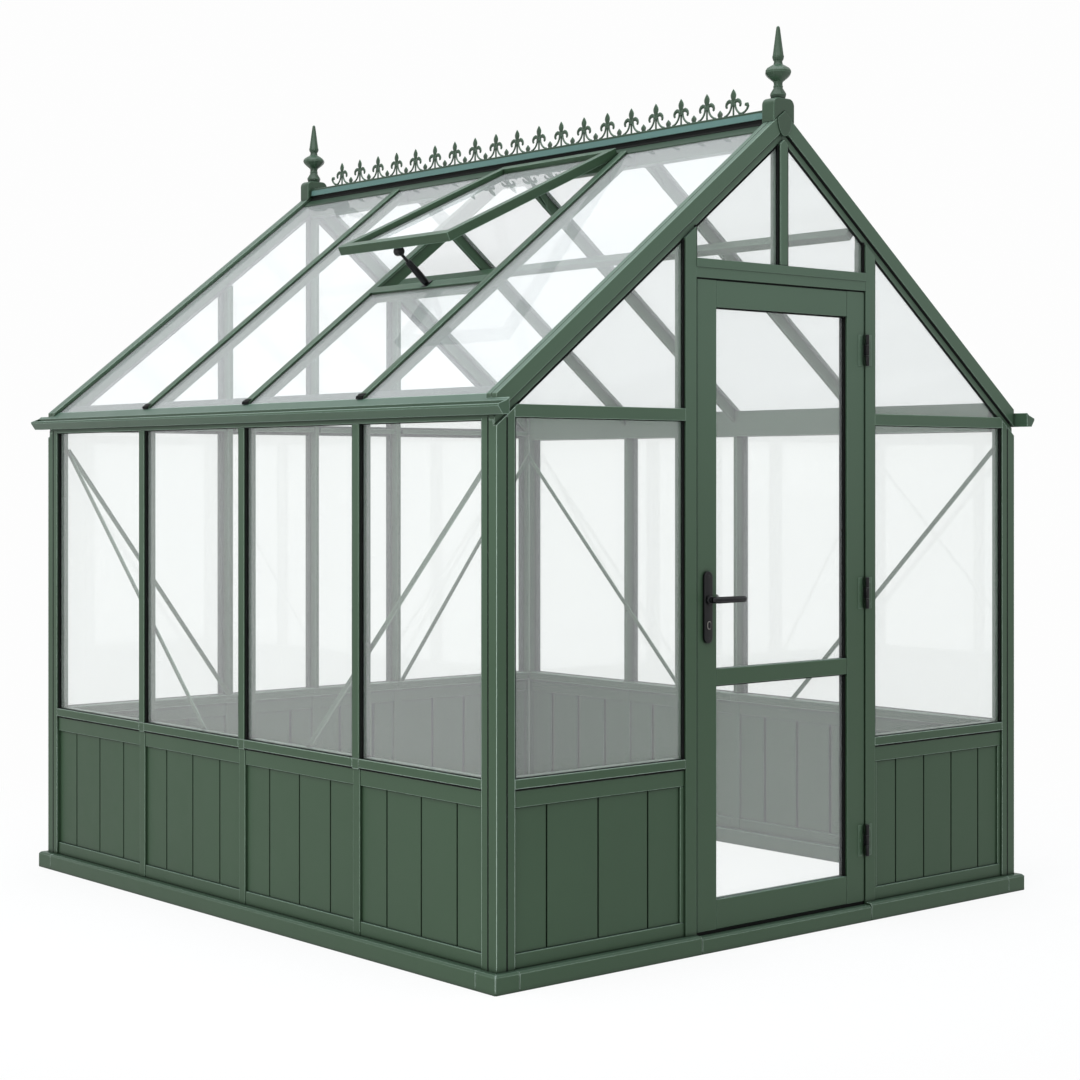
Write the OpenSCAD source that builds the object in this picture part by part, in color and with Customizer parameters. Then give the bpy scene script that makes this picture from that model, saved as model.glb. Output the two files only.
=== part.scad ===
// Glass greenhouse with a gabled roof, kick panels, a glazed door in the front
// gable, an open roof vent and a cast crest along the ridge.
// +X is to the right of someone facing the door, +Y runs from the door to the back,
// +Z is up. The origin is on the ground at the middle of the footprint.

/* [Overall] */
// Width across the outer faces of the corner posts
width = 2300; // [1900:10:2800]
// Pitch of the four glazing bays along each side
bay_pitch = 620; // [500:10:750]
// Height of the underside of the wall plate that the roof stands on
wall_head = 1573; // [1300:5:1900]
// Pitch of the roof in degrees
roof_pitch = 38; // [30:1:44]

/* [Base] */
// Height of the plinth
plinth_h = 55; // [40:1:80]
// How far the plinth stands out beyond the posts
plinth_out = 25; // [10:1:40]
// Chamfer along the plinth's top outer edge
plinth_chamfer = 6; // [2:1:10]

/* [Bars] */
// Face width of a corner post
post_w = 66; // [55:1:80]
// Overlap of a post's or bar's flange over the edge of the glass
lap = 12; // [8:1:14]
// Distance of a corner post's groove from the corner
post_groove_at = 36; // [26:1:40]
// Width of a shadow groove
groove_w = 3; // [2:0.5:5]
// Depth of a shadow groove
groove_d = 8; // [4:1:12]
// Face width of a glazing bar
bar_w = 33; // [28:1:45]
// Thickness of a glazing bar's web, behind the glass
web_w = 16; // [8:1:20]
// Depth of a bar's outer flange, in front of the glass
cap_d = 14; // [8:1:20]
// Depth of a bar, from its outer face to the back of its web
bar_d = 54; // [44:1:70]
// Depth of sills, wall plates, door posts and the door head
rail_d = 60; // [50:1:80]
// Face height of the transoms at the eaves
transom_h = 36; // [28:1:45]
// Height of the middle of the transoms above the wall head
transom_up = 27; // [22:1:60]

/* [Glass] */
// Thickness of the glass
glass_t = 4; // [3:0.5:6]
// Gap between the edge of a pane and the web that it stops at
glass_gap = 2; // [1:0.5:3]
// Depth of the channels that hold the glass in sills and rails
channel_d = 12; // [8:1:16]
// Play of the glass across its channel
channel_play = 0.5; // [0.2:0.1:1]
// Gap between the roof glass and the flanges and plates above and below it
glass_seat = 0.3; // [0.1:0.1:0.8]

/* [Kick panels] */
// Height of the top of the sills
sill_top = 580; // [450:5:800]
// Face height of a sill
sill_h = 27; // [22:1:40]
// Shadow gap under the sill
sill_gap = 3; // [2:0.5:6]
// Set-back of the shadow gap
sill_gap_d = 8; // [4:1:12]
// Set-back of a kick panel's face from the posts
panel_in = 6; // [2:1:10]
// Depth from the outer wall face to the back of a kick panel
panel_back = 46; // [36:1:56]
// Height of a kick panel's top rail
panel_top_rail = 50; // [30:1:80]
// Height of a kick panel's bottom rail
panel_bottom_rail = 42; // [30:1:80]
// Width of a kick panel's edge stile
panel_stile = 17; // [10:1:50]
// Depth of the recess for the boards
board_recess = 14; // [8:1:20]

/* [Roof] */
// Face height of a rake, square to the slope
rake_h = 70; // [60:1:90]
// Width of a rake's top face
rake_top = 45; // [38:1:60]
// Thickness of a rake's core, behind its front flange
rake_core = 19; // [12:1:24]
// Depth of a rafter's cap below the rake's top face
rafter_down = 4; // [2:1:8]
// Half width of the ridge beam
ridge_beam_half = 20; // [14:1:24]
// Depth of the ridge beam below the rake's apex
ridge_beam_deep = 105; // [90:1:140]
// Half width of the ridge cap
ridge_cap_half = 30; // [26:1:40]
// Height of the ridge cap's side face
ridge_cap_side = 28; // [20:1:40]
// Height of the ridge cap above the rake's apex
ridge_cap_up = 7; // [4:1:20]
// Width of the ridge cap's lower flange, across each slope
ridge_flange = 34; // [26:1:50]
// Set-back of the ridge cap's shadow gap
ridge_gap_d = 6; // [3:1:10]
// Thickness of the ridge cap's and gutter's flanges over the glass
flange_t = 4; // [3:1:6]
// Distance of the purlin from the ridge, across the slope
purlin_at = 470; // [300:10:700]
// Side of the square purlin
purlin_w = 30; // [20:1:40]

/* [Gutters] */
// How far the gutter's lip stands out beyond the posts
gutter_out = 40; // [30:1:60]
// How far the gutter runs past the gable
gutter_past = 55; // [30:1:80]
// Height of the gutter's lip
gutter_h = 28; // [22:1:40]
// Thickness of the gutter's metal
gutter_t = 3; // [2:0.5:4]
// Width of the gutter's underside
gutter_under = 24; // [14:1:28]
// Width of the eaves flashing between the posts and the channel
gutter_back = 10; // [4:1:14]
// How far the eaves flashing laps onto the roof glass
gutter_lap = 18; // [12:1:24]

/* [Ridge ornaments] */
// Pitch of the crest's fleurs
fleur_pitch = 118; // [100:1:140]
// Least length of bare foot between the crest's last fleur and an end block
crest_end = 60; // [20:1:120]
// Height of a fleur above the crest's foot
fleur_h = 84; // [60:1:110]
// Half width of a fleur
fleur_half = 36; // [24:1:42]
// Thickness of the crest
crest_t = 6; // [4:1:10]
// Height of the crest's foot strip
crest_foot = 6; // [4:1:10]
// Width of a ridge end block
block_w = 93; // [80:1:110]
// Depth of a ridge end block, along the ridge
block_d = 52; // [46:1:70]
// Height of a ridge end block above the rake's apex
block_up = 40; // [30:1:60]
// Radius of a ridge end block's upper corners
block_r = 22; // [10:1:30]
// Height of a finial
finial_h = 226; // [180:1:300]
// Radius of a finial's bulb
finial_r = 40; // [30:1:44]

/* [Roof vent] */
// Opening angle of the vent, above the slope
vent_open = 13; // [8:1:30]
// Length of the vent, down the slope
vent_l = 780; // [500:10:900]
// Width of the vent's frame bars
vent_bar = 32; // [24:1:45]
// Thickness of the vent's frame
vent_t = 30; // [20:1:40]
// Gap between the vent and the rafters beside it
vent_gap = 3.5; // [2:0.5:8]
// Radius of the vent's hinge bead
vent_bead_r = 7; // [5:0.5:10]
// Distance of the vent's sill short of the vent's free end, down the slope
vent_past = 40; // [20:1:80]
// Radius of the vent opener's cylinder
opener_r = 11; // [8:1:16]
// Radius of the vent opener's knob
opener_knob_r = 15; // [10:1:20]

/* [Door] */
// Width between the door posts
door_open_w = 760; // [650:5:900]
// Height of the underside of the door head
door_open_h = 2010; // [1850:5:2060]
// Face width of a door post
door_post_w = 45; // [38:1:60]
// Gap beside the door on the hinge side
hinge_gap = 5; // [5:0.5:8]
// Gap beside the door on the latch side
latch_gap = 7; // [7:0.5:10]
// Gap above and below the door, and behind it to its stop
door_gap = 5; // [5:0.5:8]
// Set-back of the door's face from the posts
door_in = 4; // [2:1:8]
// Thickness of the door
door_t = 36; // [30:1:45]
// Width of the door's stiles
stile_w = 80; // [60:1:110]
// Height of the door's top rail
top_rail_h = 80; // [60:1:110]
// Height of the door's bottom rail
bottom_rail_h = 88; // [70:1:150]
// Height of the door's middle rail
mid_rail_h = 50; // [40:1:90]
// Height of the middle of the door's middle rail
mid_rail_z = 815; // [600:5:1000]
// How far the door stop stands into the opening
stop_w = 12; // [8:1:20]
// Height of the door head and the glazing sill on it
head_h = 58; // [45:1:80]

/* [Door furniture] */
// Distance of the lever's spindle from the door's latch edge
spindle_in = 39; // [30:1:55]
// Height of the lever's spindle
spindle_z = 1049; // [900:1:1150]
// Radius of the spindle
spindle_r = 6; // [4:0.5:8]
// Running clearance round the spindle and the hinge pins
running_gap = 0.3; // [0.2:0.05:0.5]
// Width of a handle plate
plate_w = 34; // [26:1:44]
// Height of a handle plate
plate_h = 215; // [160:5:260]
// Distance of the spindle below the top of the plate
plate_above = 85; // [50:1:110]
// Thickness of a handle plate
plate_t = 8; // [4:1:12]
// Length of the lever, from the spindle to its end
lever_l = 125; // [90:1:150]
// Radius of the lever's grip
grip_r = 9; // [6:0.5:12]
// Radius of the lever's neck
neck_r = 10; // [8:0.5:14]
// Distance of the grip's axis from the handle plate
lever_off = 34; // [24:1:40]
// Distance of the key cylinder below the spindle
key_down = 76; // [60:1:90]
// Radius of the key cylinder
key_r = 8.5; // [6:0.5:12]
// Heights of the hinges' middles
hinge_z = [255, 1045, 1820];
// Height of a hinge
hinge_h = 100; // [70:1:130]
// Radius of a hinge's knuckle
knuckle_r = 7.5; // [6:0.5:9]
// Radius of a hinge's pin
hinge_pin_r = 3; // [2:0.5:4]
// Distance of the hinge pins in front of the door posts
hinge_out = 9; // [8.5:0.5:12]
// Width of a hinge's plate
hinge_plate_w = 21; // [14:1:26]
// Thickness of a hinge's plate
hinge_plate_t = 3; // [2:0.5:4]

/* [Braces] */
// Width of a brace
brace_w = 17; // [12:1:24]
// Thickness of a brace
brace_t = 4; // [3:0.5:6]
// Height of a brace's upper end below the wall head
brace_down = 70; // [30:1:150]
// Distance of a side brace's foot from the middle of the wall
brace_foot = 300; // [100:10:450]

/* [Hidden] */
$fn = 48;
cut = 1;
far = 4000;
half_w = width / 2;
half_l = 2 * bay_pitch + 40;
bar_lines = [-bay_pitch, 0, bay_pitch];
post_core = post_w - lap;
web_half = web_w / 2;
pane_half = web_half + glass_gap;
corner_pane = post_core + glass_gap;
channel_w = glass_t + channel_play;
channel_at = cap_d - channel_play / 2;
panel_top = sill_top - sill_h - sill_gap;
transom_z = wall_head + transom_up;

// The roof. Its top plane runs through the rakes' top faces and the gutters' lips.
rise = tan(roof_pitch);
gutter_x = half_w + gutter_out;
lip_z = wall_head + 14 + gutter_h;
apex = lip_z + gutter_x * rise;
// Height of the plane that lies down below the roof's top plane, x away from the ridge
function roof_z(x, down = 0) = apex - down / cos(roof_pitch) - x * rise;
glass_down = cap_d;
glass_under = cap_d + glass_t;
over_glass = glass_down - glass_seat;
under_glass = glass_under + glass_seat;
flange_down = cap_d - flange_t;
rake_core_back = cap_d + rake_core;
rake_core_h = rake_h - lap;
flange_x = ridge_cap_half + ridge_flange;
eave_x = half_w - gutter_lap;
gable_pane_down = rake_core_h + glass_gap;

// The gables
door_post_in = door_open_w / 2;
door_post_out = door_post_in + door_post_w;
door_core_in = door_post_in + lap;
door_core_out = door_post_out - lap;
door_pane_out = door_core_out + glass_gap;
door_pane_in = door_core_in - glass_gap;
head_top = door_open_h + head_h;
gable_in = half_w - post_w;

// The door
door_x0 = -door_post_in + latch_gap;
door_x1 = door_post_in - hinge_gap;
door_z0 = plinth_h + door_gap;
door_z1 = door_open_h - door_gap;
door_front = -half_l + door_in;
door_back = door_front + door_t;
door_glass_y = door_front + (door_t - glass_t) / 2;
stop_at = door_in + door_t + door_gap;
mid_z0 = mid_rail_z - mid_rail_h / 2;
mid_z1 = mid_rail_z + mid_rail_h / 2;
spindle_x = door_x0 + spindle_in;
hinge_x = door_post_in - hinge_gap / 2;
hinge_y = -half_l - hinge_out;

// The vent, in the second bay from the front of the left slope
vent_y = -bay_pitch / 2;
vent_w = bay_pitch - bar_w - 2 * vent_gap;
// Where the hinge bead touches the edge of the ridge cap's flange, x out from the ridge
vent_hinge_x = flange_x + vent_bead_r;
vent_hinge_z = roof_z(flange_x, (flange_down + glass_down) / 2) - apex;
vent_hinge_s = vent_hinge_x * cos(roof_pitch) - vent_hinge_z * sin(roof_pitch);
vent_hinge_up = vent_hinge_x * sin(roof_pitch) + vent_hinge_z * cos(roof_pitch);
vent_sill_s = vent_hinge_s + vent_l * cos(vent_open) - vent_past;
vent_sill_half = bar_w / 2;

green = [0.28, 0.37, 0.30];
light_green = [0.36, 0.47, 0.41];
black = [0.04, 0.04, 0.045];
clear = [0.86, 0.91, 0.91, 0.35];

// Runs an outline drawn in (x, z) from y0 to y1
module along_y(y0, y1)
    translate([0, y1, 0]) rotate([90, 0, 0]) linear_extrude(y1 - y0) children();

// Runs an outline drawn in (y, z) from x0 to x1
module along_x(x0, x1)
    translate([x0, 0, 0]) rotate([90, 0, 90]) linear_extrude(x1 - x0) children();

// Runs an outline drawn in (x, y) from z0 to z1
module along_z(z0, z1)
    translate([0, 0, z0]) linear_extrude(z1 - z0) children();

// A box between two corners
module box(low, high)
    translate(low) cube(high - low);

module both_sides() {
    children();
    mirror([1, 0, 0]) children();
}

module both_ends() {
    children();
    mirror([0, 1, 0]) children();
}

// Places a child on the right slope: x runs down the slope, z stands out of it
module on_slope()
    translate([0, 0, apex]) rotate([0, roof_pitch, 0]) children();

// The right slope's solid above a plane that lies down below its top plane
module above_roof(down)
    along_y(-far, far)
        polygon([[0, roof_z(0, down)], [half_w + far, roof_z(half_w + far, down)],
                 [half_w + far, far], [0, far]]);

// Outline of a glazing bar: face on the line y = 0, depth towards +y, middle at x = 0
module bar_outline(face_w, core_w) {
    translate([-face_w / 2, 0]) square([face_w, cap_d]);
    translate([-core_w / 2, 0]) square([core_w, bar_d]);
}

// The channel for the glass in the top or bottom of a rail, from height z up, with the
// rail's depth along +x
module channel_cut(z)
    translate([channel_at, z]) square([channel_w, channel_d + cut]);

// ---- Base ----
module plinth_outline() polygon([
    [-post_w, 0], [plinth_out, 0], [plinth_out, plinth_h - plinth_chamfer],
    [plinth_out - plinth_chamfer, plinth_h], [-post_w, plinth_h]]);

module base_sides() color(green)
    both_sides() translate([half_w, 0, 0])
        along_y(-half_l - plinth_out, half_l + plinth_out) plinth_outline();

module base_rear() color(green)
    translate([0, half_l, 0]) along_x(-gable_in, gable_in) plinth_outline();

module base_front() color(green)
    both_sides() mirror([0, 1, 0]) translate([0, half_l, 0])
        along_x(door_post_out, gable_in) plinth_outline();

module door_threshold() color(green)
    mirror([0, 1, 0]) translate([0, half_l, 0])
        along_x(-door_post_out, door_post_out) plinth_outline();

// ---- Posts ----
// Corner at the origin, body towards +x and +y
module post_outline() difference() {
    polygon([[0, 0], [post_w, 0], [post_w, cap_d], [post_core, cap_d],
             [post_core, post_core], [cap_d, post_core], [cap_d, post_w], [0, post_w]]);
    translate([post_groove_at, -cut]) square([groove_w, groove_d + cut]);
    translate([-cut, post_groove_at]) square([groove_d + cut, groove_w]);
}

// The space of the front right rake below its top flange, run on past both ends
module rake_seat()
    translate([0, -half_l, 0]) on_slope() along_x(0, 2 * width) polygon([
        [-cut, cut], [rake_core_back, cut], [rake_core_back, -rake_core_h],
        [cap_d + channel_play, -rake_core_h], [cap_d + channel_play, -rake_h],
        [-cut, -rake_h]]);

module corner_post() difference() {
    translate([half_w, -half_l, 0]) mirror([1, 0, 0])
        along_z(plinth_h, roof_z(half_w - post_w)) post_outline();
    above_roof(under_glass);
    rake_seat();
}

module corner_posts() color(green) both_ends() both_sides() corner_post();

// The right door post, with the jamb lining and the stop that the door closes on
module door_post() difference() {
    translate([0, -half_l, 0]) {
        box([door_post_in, 0, plinth_h], [door_post_out, cap_d, roof_z(door_post_in)]);
        box([door_core_in, 0, plinth_h], [door_core_out, rail_d, roof_z(door_post_in)]);
        box([door_post_in, 0, plinth_h], [door_core_out, rail_d, head_top]);
        box([door_post_in - stop_w, stop_at, plinth_h],
            [door_core_out, rail_d, door_open_h - stop_w]);
        box([door_core_in, 0, plinth_h], [door_post_out, rail_d, panel_top]);
    }
    above_roof(rake_h);
    purlin_space();
    translate([0, -half_l, 0])
        box([door_post_in - cut, channel_at, head_top - channel_d],
            [door_core_in, channel_at + channel_w, head_top + cut]);
}

module door_posts() color(green) both_sides() door_post();

// The space of the rakes and the ridge beam, which the gable's uprights stop under
module under_roof_cut() {
    both_sides() above_roof(rake_h);
    box([-ridge_beam_half, -half_l + rake_core_back, apex - ridge_beam_deep],
        [ridge_beam_half, half_l - rake_core_back, apex]);
}

module rear_post(x, face_w, core_w) difference() {
    translate([x, half_l, 0]) mirror([0, 1, 0])
        along_z(sill_top, apex) bar_outline(face_w, core_w);
    under_roof_cut();
}

module rear_posts() color(green) {
    both_sides() rear_post((door_post_in + door_post_out) / 2, door_post_w, door_post_w - 2 * lap);
    rear_post(0, bar_w, web_w);
}

module side_mullions() color(green)
    both_sides() for (y = bar_lines)
        translate([half_w, y, 0]) rotate(90)
            along_z(sill_top, wall_head) bar_outline(bar_w, web_w);

// ---- Sills and kick panels ----
// Depth towards -x from the outer face at x = 0
module sill_outline() mirror([1, 0]) difference() {
    union() {
        translate([0, sill_top - sill_h]) square([rail_d, sill_h]);
        translate([sill_gap_d, panel_top]) square([rail_d - sill_gap_d, sill_h]);
    }
    channel_cut(sill_top - channel_d);
}

module side_sills() color(green)
    both_sides() translate([half_w, 0, 0])
        along_y(-half_l + post_w, half_l - post_w) sill_outline();

module front_sills() color(green)
    both_sides() mirror([0, 1, 0]) translate([0, half_l, 0])
        along_x(door_post_out, gable_in) sill_outline();

module rear_sill() color(green)
    translate([0, half_l, 0]) along_x(-gable_in, gable_in) sill_outline();

// A kick panel along x from the first to the last of the lines xs, its outer wall face
// on y = 0 and its back towards -y, with a recess for boards between each two lines
module kick_panel(xs) difference() {
    box([xs[0], -panel_back, plinth_h], [xs[len(xs) - 1], -panel_in, panel_top]);
    for (i = [0:len(xs) - 2])
        box([xs[i] + panel_stile, -panel_in - board_recess, plinth_h + panel_bottom_rail],
            [xs[i + 1] - panel_stile, cut, panel_top - panel_top_rail]);
}

module side_panels() color(green)
    both_sides() translate([half_w, 0, 0]) rotate(-90)
        kick_panel(concat([-half_l + post_w], bar_lines, [half_l - post_w]));

module front_panels() color(green)
    both_sides() mirror([0, 1, 0]) translate([0, half_l, 0])
        kick_panel([door_post_out, gable_in]);

module rear_panel() color(green)
    translate([0, half_l, 0])
        kick_panel([-gable_in, -door_post_in - door_post_w / 2, 0,
                    door_post_in + door_post_w / 2, gable_in]);

// ---- Wall plates and gutters ----
module wall_plates() color(green)
    both_sides() along_y(-half_l + post_w, half_l - post_w) difference() {
        polygon([[half_w - rail_d, wall_head], [half_w, wall_head],
                 [half_w, roof_z(half_w, under_glass)],
                 [half_w - rail_d, roof_z(half_w - rail_d, under_glass)]]);
        translate([half_w - channel_at - channel_w, wall_head - cut])
            square([channel_w, channel_d + cut]);
    }

gutter_low = lip_z - gutter_h;
lip_face = 6;
back_x = half_w + gutter_back;
// Outline of the gutter with its channel filled, as its end caps have it
function gutter_points() = [
    [half_w, gutter_low], [half_w + gutter_under, gutter_low],
    [gutter_x, lip_z - lip_face], [gutter_x, lip_z],
    [back_x, roof_z(back_x, flange_down)], [half_w, roof_z(half_w, flange_down)]];

module gutter_outline() difference() {
    polygon(gutter_points());
    polygon([[back_x, gutter_low + gutter_t], [half_w + gutter_under - 1, gutter_low + gutter_t],
             [gutter_x - gutter_t, lip_z - lip_face + 1], [gutter_x - gutter_t, lip_z + far],
             [back_x, lip_z + far]]);
}

module right_gutter() color(light_green) {
    along_y(-half_l - gutter_past, half_l + gutter_past) gutter_outline();
    both_ends() along_y(half_l + gutter_past - gutter_t, half_l + gutter_past)
        polygon(gutter_points());
    along_y(-half_l + rake_top, half_l - rake_top)
        polygon([[half_w, roof_z(half_w, over_glass)], [half_w + cut, roof_z(half_w + cut, over_glass)],
                 [half_w + cut, roof_z(half_w + cut, flange_down)],
                 [eave_x, roof_z(eave_x, flange_down)], [eave_x, roof_z(eave_x, over_glass)]]);
}

module left_gutter() mirror([1, 0, 0]) right_gutter();

// ---- Gable bars ----
// A transom from x0 to x1 in the gable at y = half_l
module transom(x0, x1)
    translate([0, half_l, transom_z]) along_x(x0, x1)
        mirror([1, 0]) rotate(-90) mirror([1, 0]) bar_outline(transom_h, web_w);

module transoms() color(green) both_sides() {
    transom(bar_w / 2, door_post_in);
    both_ends() difference() {
        transom(door_post_out, gable_in);
        above_roof(rake_h);
    }
}

// Depth towards +y from the outer face at y = -half_l
module door_head() color(green) difference() {
    translate([0, -half_l, 0]) along_x(-door_post_in, door_post_in) difference() {
        union() {
            translate([0, door_open_h]) square([rail_d, head_h]);
            translate([stop_at, door_open_h - stop_w]) square([rail_d - stop_at, head_h]);
        }
        channel_cut(head_top - channel_d);
    }
    both_sides() above_roof(rake_h);
    purlin_space();
}

module front_centre_bar() color(green) difference() {
    translate([0, -half_l, 0]) along_z(head_top, apex) bar_outline(bar_w, web_w);
    under_roof_cut();
}

// ---- Roof bars ----
// Outline of a rake in (y, z), with its outer face on y = 0 and its top on z = 0
module rake_outline() polygon([
    [0, 0], [rake_top, 0], [rake_top, -cap_d], [rake_core_back, -cap_d],
    [rake_core_back, -rake_core_h], [cap_d, -rake_core_h], [cap_d, -rake_h], [0, -rake_h]]);

// The front right rake, cut plumb at the ridge and at the outer face of the posts
module rake_bar() intersection() {
    translate([0, -half_l, 0]) on_slope() difference() {
        along_x(-width, 2 * width) rake_outline();
        box([-width, rake_top / 2, -groove_d], [2 * width, rake_top / 2 + groove_w, cut]);
    }
    box([0, -far, 0], [half_w, far, far]);
}

module front_right_rake() color(green) rake_bar();
module front_left_rake() color(green) mirror([1, 0, 0]) rake_bar();
module rear_right_rake() color(green) mirror([0, 1, 0]) rake_bar();
module rear_left_rake() color(green) mirror([1, 0, 0]) mirror([0, 1, 0]) rake_bar();

// A rafter of the right slope: its cap lies over the glass and its web stops at the
// ridge beam and at the wall plate
module rafter(y) {
    intersection() {
        translate([0, y, 0]) on_slope()
            box([0, -bar_w / 2, -cap_d], [width, bar_w / 2, -rafter_down]);
        box([flange_x, -far, 0], [eave_x, far, far]);
    }
    intersection() {
        translate([0, y, 0]) on_slope()
            box([-width, -web_half, -bar_d], [width, web_half, -cap_d + cut]);
        box([ridge_beam_half, -far, 0], [half_w - rail_d, far, far]);
        along_y(-far, far) polygon([
            [0, 0], [width, 0], [width, roof_z(width, flange_down)],
            [flange_x, roof_z(flange_x, flange_down)],
            [flange_x, roof_z(flange_x, cap_d)], [0, roof_z(0, cap_d)]]);
    }
}

module left_rafters() color(green) mirror([1, 0, 0]) for (y = bar_lines) rafter(y);
module right_rafters() color(green) for (y = bar_lines) rafter(y);

// The purlin's space with a clearance round it, for what it passes through
module purlin_space(clear = glass_seat)
    on_slope() box([purlin_at - clear, -half_l + rake_core_back - clear, -bar_d - purlin_w - clear],
                   [purlin_at + purlin_w + clear, half_l - rake_core_back + clear, -bar_d + clear]);

module right_purlin() color(green) purlin_space(0);

// ---- Ridge ----
module ridge_beam() color(green)
    along_y(-half_l + rake_core_back, half_l - rake_core_back) polygon([
        [-ridge_beam_half, apex - ridge_beam_deep], [ridge_beam_half, apex - ridge_beam_deep],
        [ridge_beam_half, roof_z(ridge_beam_half, glass_under)], [0, roof_z(0, glass_under)],
        [-ridge_beam_half, roof_z(ridge_beam_half, glass_under)]]);

cap_top = apex + ridge_cap_up;
cap_low = cap_top - ridge_cap_side;
neck_x = ridge_cap_half - ridge_gap_d;
// Half of the ridge cap's outline, from the middle of its top down to its underside
cap_half = [
    [0, cap_top], [ridge_cap_half, cap_top], [ridge_cap_half, cap_low], [neck_x, cap_low],
    [neck_x, roof_z(neck_x, flange_down)], [flange_x, roof_z(flange_x, flange_down)],
    [flange_x, roof_z(flange_x, over_glass)], [0, roof_z(0, over_glass)]];

module ridge_cap() color(light_green)
    along_y(-half_l + block_d, half_l - block_d) polygon(concat(
        cap_half, [for (i = [len(cap_half) - 1:-1:0]) [-cap_half[i][0], cap_half[i][1]]]));

// Right half of one fleur, from its foot to its tip, as shares of its half width and height
fleur_side = [[0.55, 0], [0.2, 0.16], [0.16, 0.42], [0.95, 0.5], [0.95, 0.68], [0.36, 0.6],
              [0.36, 0.74]];
// The foot fills the ridge between the end blocks, and as many fleurs stand on it as fit
crest_half = half_l - block_d - running_gap;
fleurs_a_side = floor((half_l - block_d - crest_end - fleur_half) / fleur_pitch);
// The crest's outline is one closed line: the foot, then each fleur from +y to -y
crest_points = concat(
    [[-crest_half, 0], [crest_half, 0], [crest_half, crest_foot]],
    [for (i = [fleurs_a_side:-1:-fleurs_a_side]) each concat(
        [for (p = fleur_side) [i * fleur_pitch + p[0] * fleur_half, crest_foot + p[1] * fleur_h]],
        [[i * fleur_pitch, crest_foot + fleur_h]],
        [for (k = [len(fleur_side) - 1:-1:0])
            [i * fleur_pitch - fleur_side[k][0] * fleur_half,
             crest_foot + fleur_side[k][1] * fleur_h]])],
    [[-crest_half, crest_foot]]);

module ridge_crest() color(green)
    translate([0, 0, cap_top]) along_x(-crest_t / 2, crest_t / 2) polygon(crest_points);

// The block over the front end of the ridge, arched on top and seated on both rakes
module end_block() difference() {
    along_y(-half_l, -half_l + block_d) {
        translate([-block_w / 2, roof_z(block_w / 2)])
            square([block_w, block_up + block_w / 2 * rise - block_r]);
        translate([-block_w / 2 + block_r, apex])
            square([block_w - 2 * block_r, block_up]);
        for (x = [-1, 1])
            translate([x * (block_w / 2 - block_r), apex + block_up - block_r]) circle(block_r);
    }
    along_y(-far, far) polygon([
        [0, apex], [far, roof_z(far)], [far, -far], [-far, -far], [-far, roof_z(far)]]);
}

module ridge_end_blocks() color(green) both_ends() end_block();

// Radius and height along a finial, as shares of the bulb's radius and the height
finial_side = [
    [0.6, 0], [0.6, 0.04], [0.75, 0.09], [0.7, 0.14], [0.38, 0.18], [0.38, 0.27], [0.75, 0.32],
    [1, 0.38], [0.96, 0.44], [0.5, 0.5], [0.4, 0.53], [0.52, 0.57], [0.45, 0.62], [0.5, 0.66],
    [0.3, 0.83], [0.1, 1]];

module finials() color(green)
    both_ends() translate([0, -half_l + block_d / 2, apex + block_up])
        rotate_extrude() polygon(concat(
            [[0, 0]], [for (p = finial_side) [p[0] * finial_r, p[1] * finial_h]], [[0, finial_h]]));

// ---- Roof vent, held open ----
// Places a child in the vent's own frame on the left slope: x runs down the vent from
// its hinge, z stands out of it
module on_vent()
    mirror([1, 0, 0]) on_slope() translate([vent_hinge_s, vent_y, vent_hinge_up])
        rotate([0, -vent_open, 0]) children();

module vent_frame() color(green) on_vent() {
    difference() {
        box([0, -vent_w / 2, -vent_bead_r], [vent_l, vent_w / 2, vent_t - vent_bead_r]);
        box([vent_bar, -vent_w / 2 + vent_bar, -vent_bead_r - cut],
            [vent_l - vent_bar, vent_w / 2 - vent_bar, vent_t]);
    }
    translate([0, vent_w / 2, 0]) rotate([90, 0, 0]) cylinder(r = vent_bead_r, h = vent_w);
}

module vent_glass() color(clear) on_vent()
    box([vent_bar, -vent_w / 2 + vent_bar, 0], [vent_l - vent_bar, vent_w / 2 - vent_bar, glass_t]);

module vent_sill() color(green) mirror([1, 0, 0]) on_slope() translate([vent_sill_s, vent_y, 0]) {
    box([-vent_sill_half, -bay_pitch / 2 + bar_w / 2, -cap_d],
        [vent_sill_half, bay_pitch / 2 - bar_w / 2, -rafter_down]);
    box([-web_half, -bay_pitch / 2 + web_half, -bar_d],
        [web_half, bay_pitch / 2 - web_half, -cap_d]);
}

// The automatic opener: a cylinder from the vent's sill up to a knob under the vent's rail
knob_x = vent_l - vent_bar / 2;
knob_z = -vent_bead_r - opener_knob_r;
opener_run = vent_hinge_s + knob_x * cos(vent_open) - knob_z * sin(vent_open) - vent_sill_s;
opener_rise = vent_hinge_up + knob_x * sin(vent_open) + knob_z * cos(vent_open) + rafter_down;
opener_len = norm([opener_run, opener_rise]);

module vent_opener() color(black) {
    difference() {
        mirror([1, 0, 0]) on_slope() translate([vent_sill_s, vent_y, -rafter_down])
            rotate([0, atan2(opener_run, opener_rise), 0]) translate([0, 0, -opener_r]) {
                cylinder(r = opener_r, h = opener_len * 0.7 + opener_r);
                cylinder(r = opener_r / 2, h = opener_len + opener_r);
            }
        mirror([1, 0, 0]) on_slope() translate([vent_sill_s, vent_y, -rafter_down])
            box([-width, -width, -width], [width, width, 0]);
    }
    on_vent() translate([knob_x, opener_knob_r, knob_z]) rotate([90, 0, 0])
        cylinder(r = opener_knob_r, h = 2 * opener_knob_r);
}

// ---- Glass ----
// A pane of the right wall from y0 to y1
module side_pane(y0, y1)
    box([half_w - cap_d - glass_t, y0, sill_top - channel_d],
        [half_w - cap_d, y1, wall_head + channel_d - glass_gap]);

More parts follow.
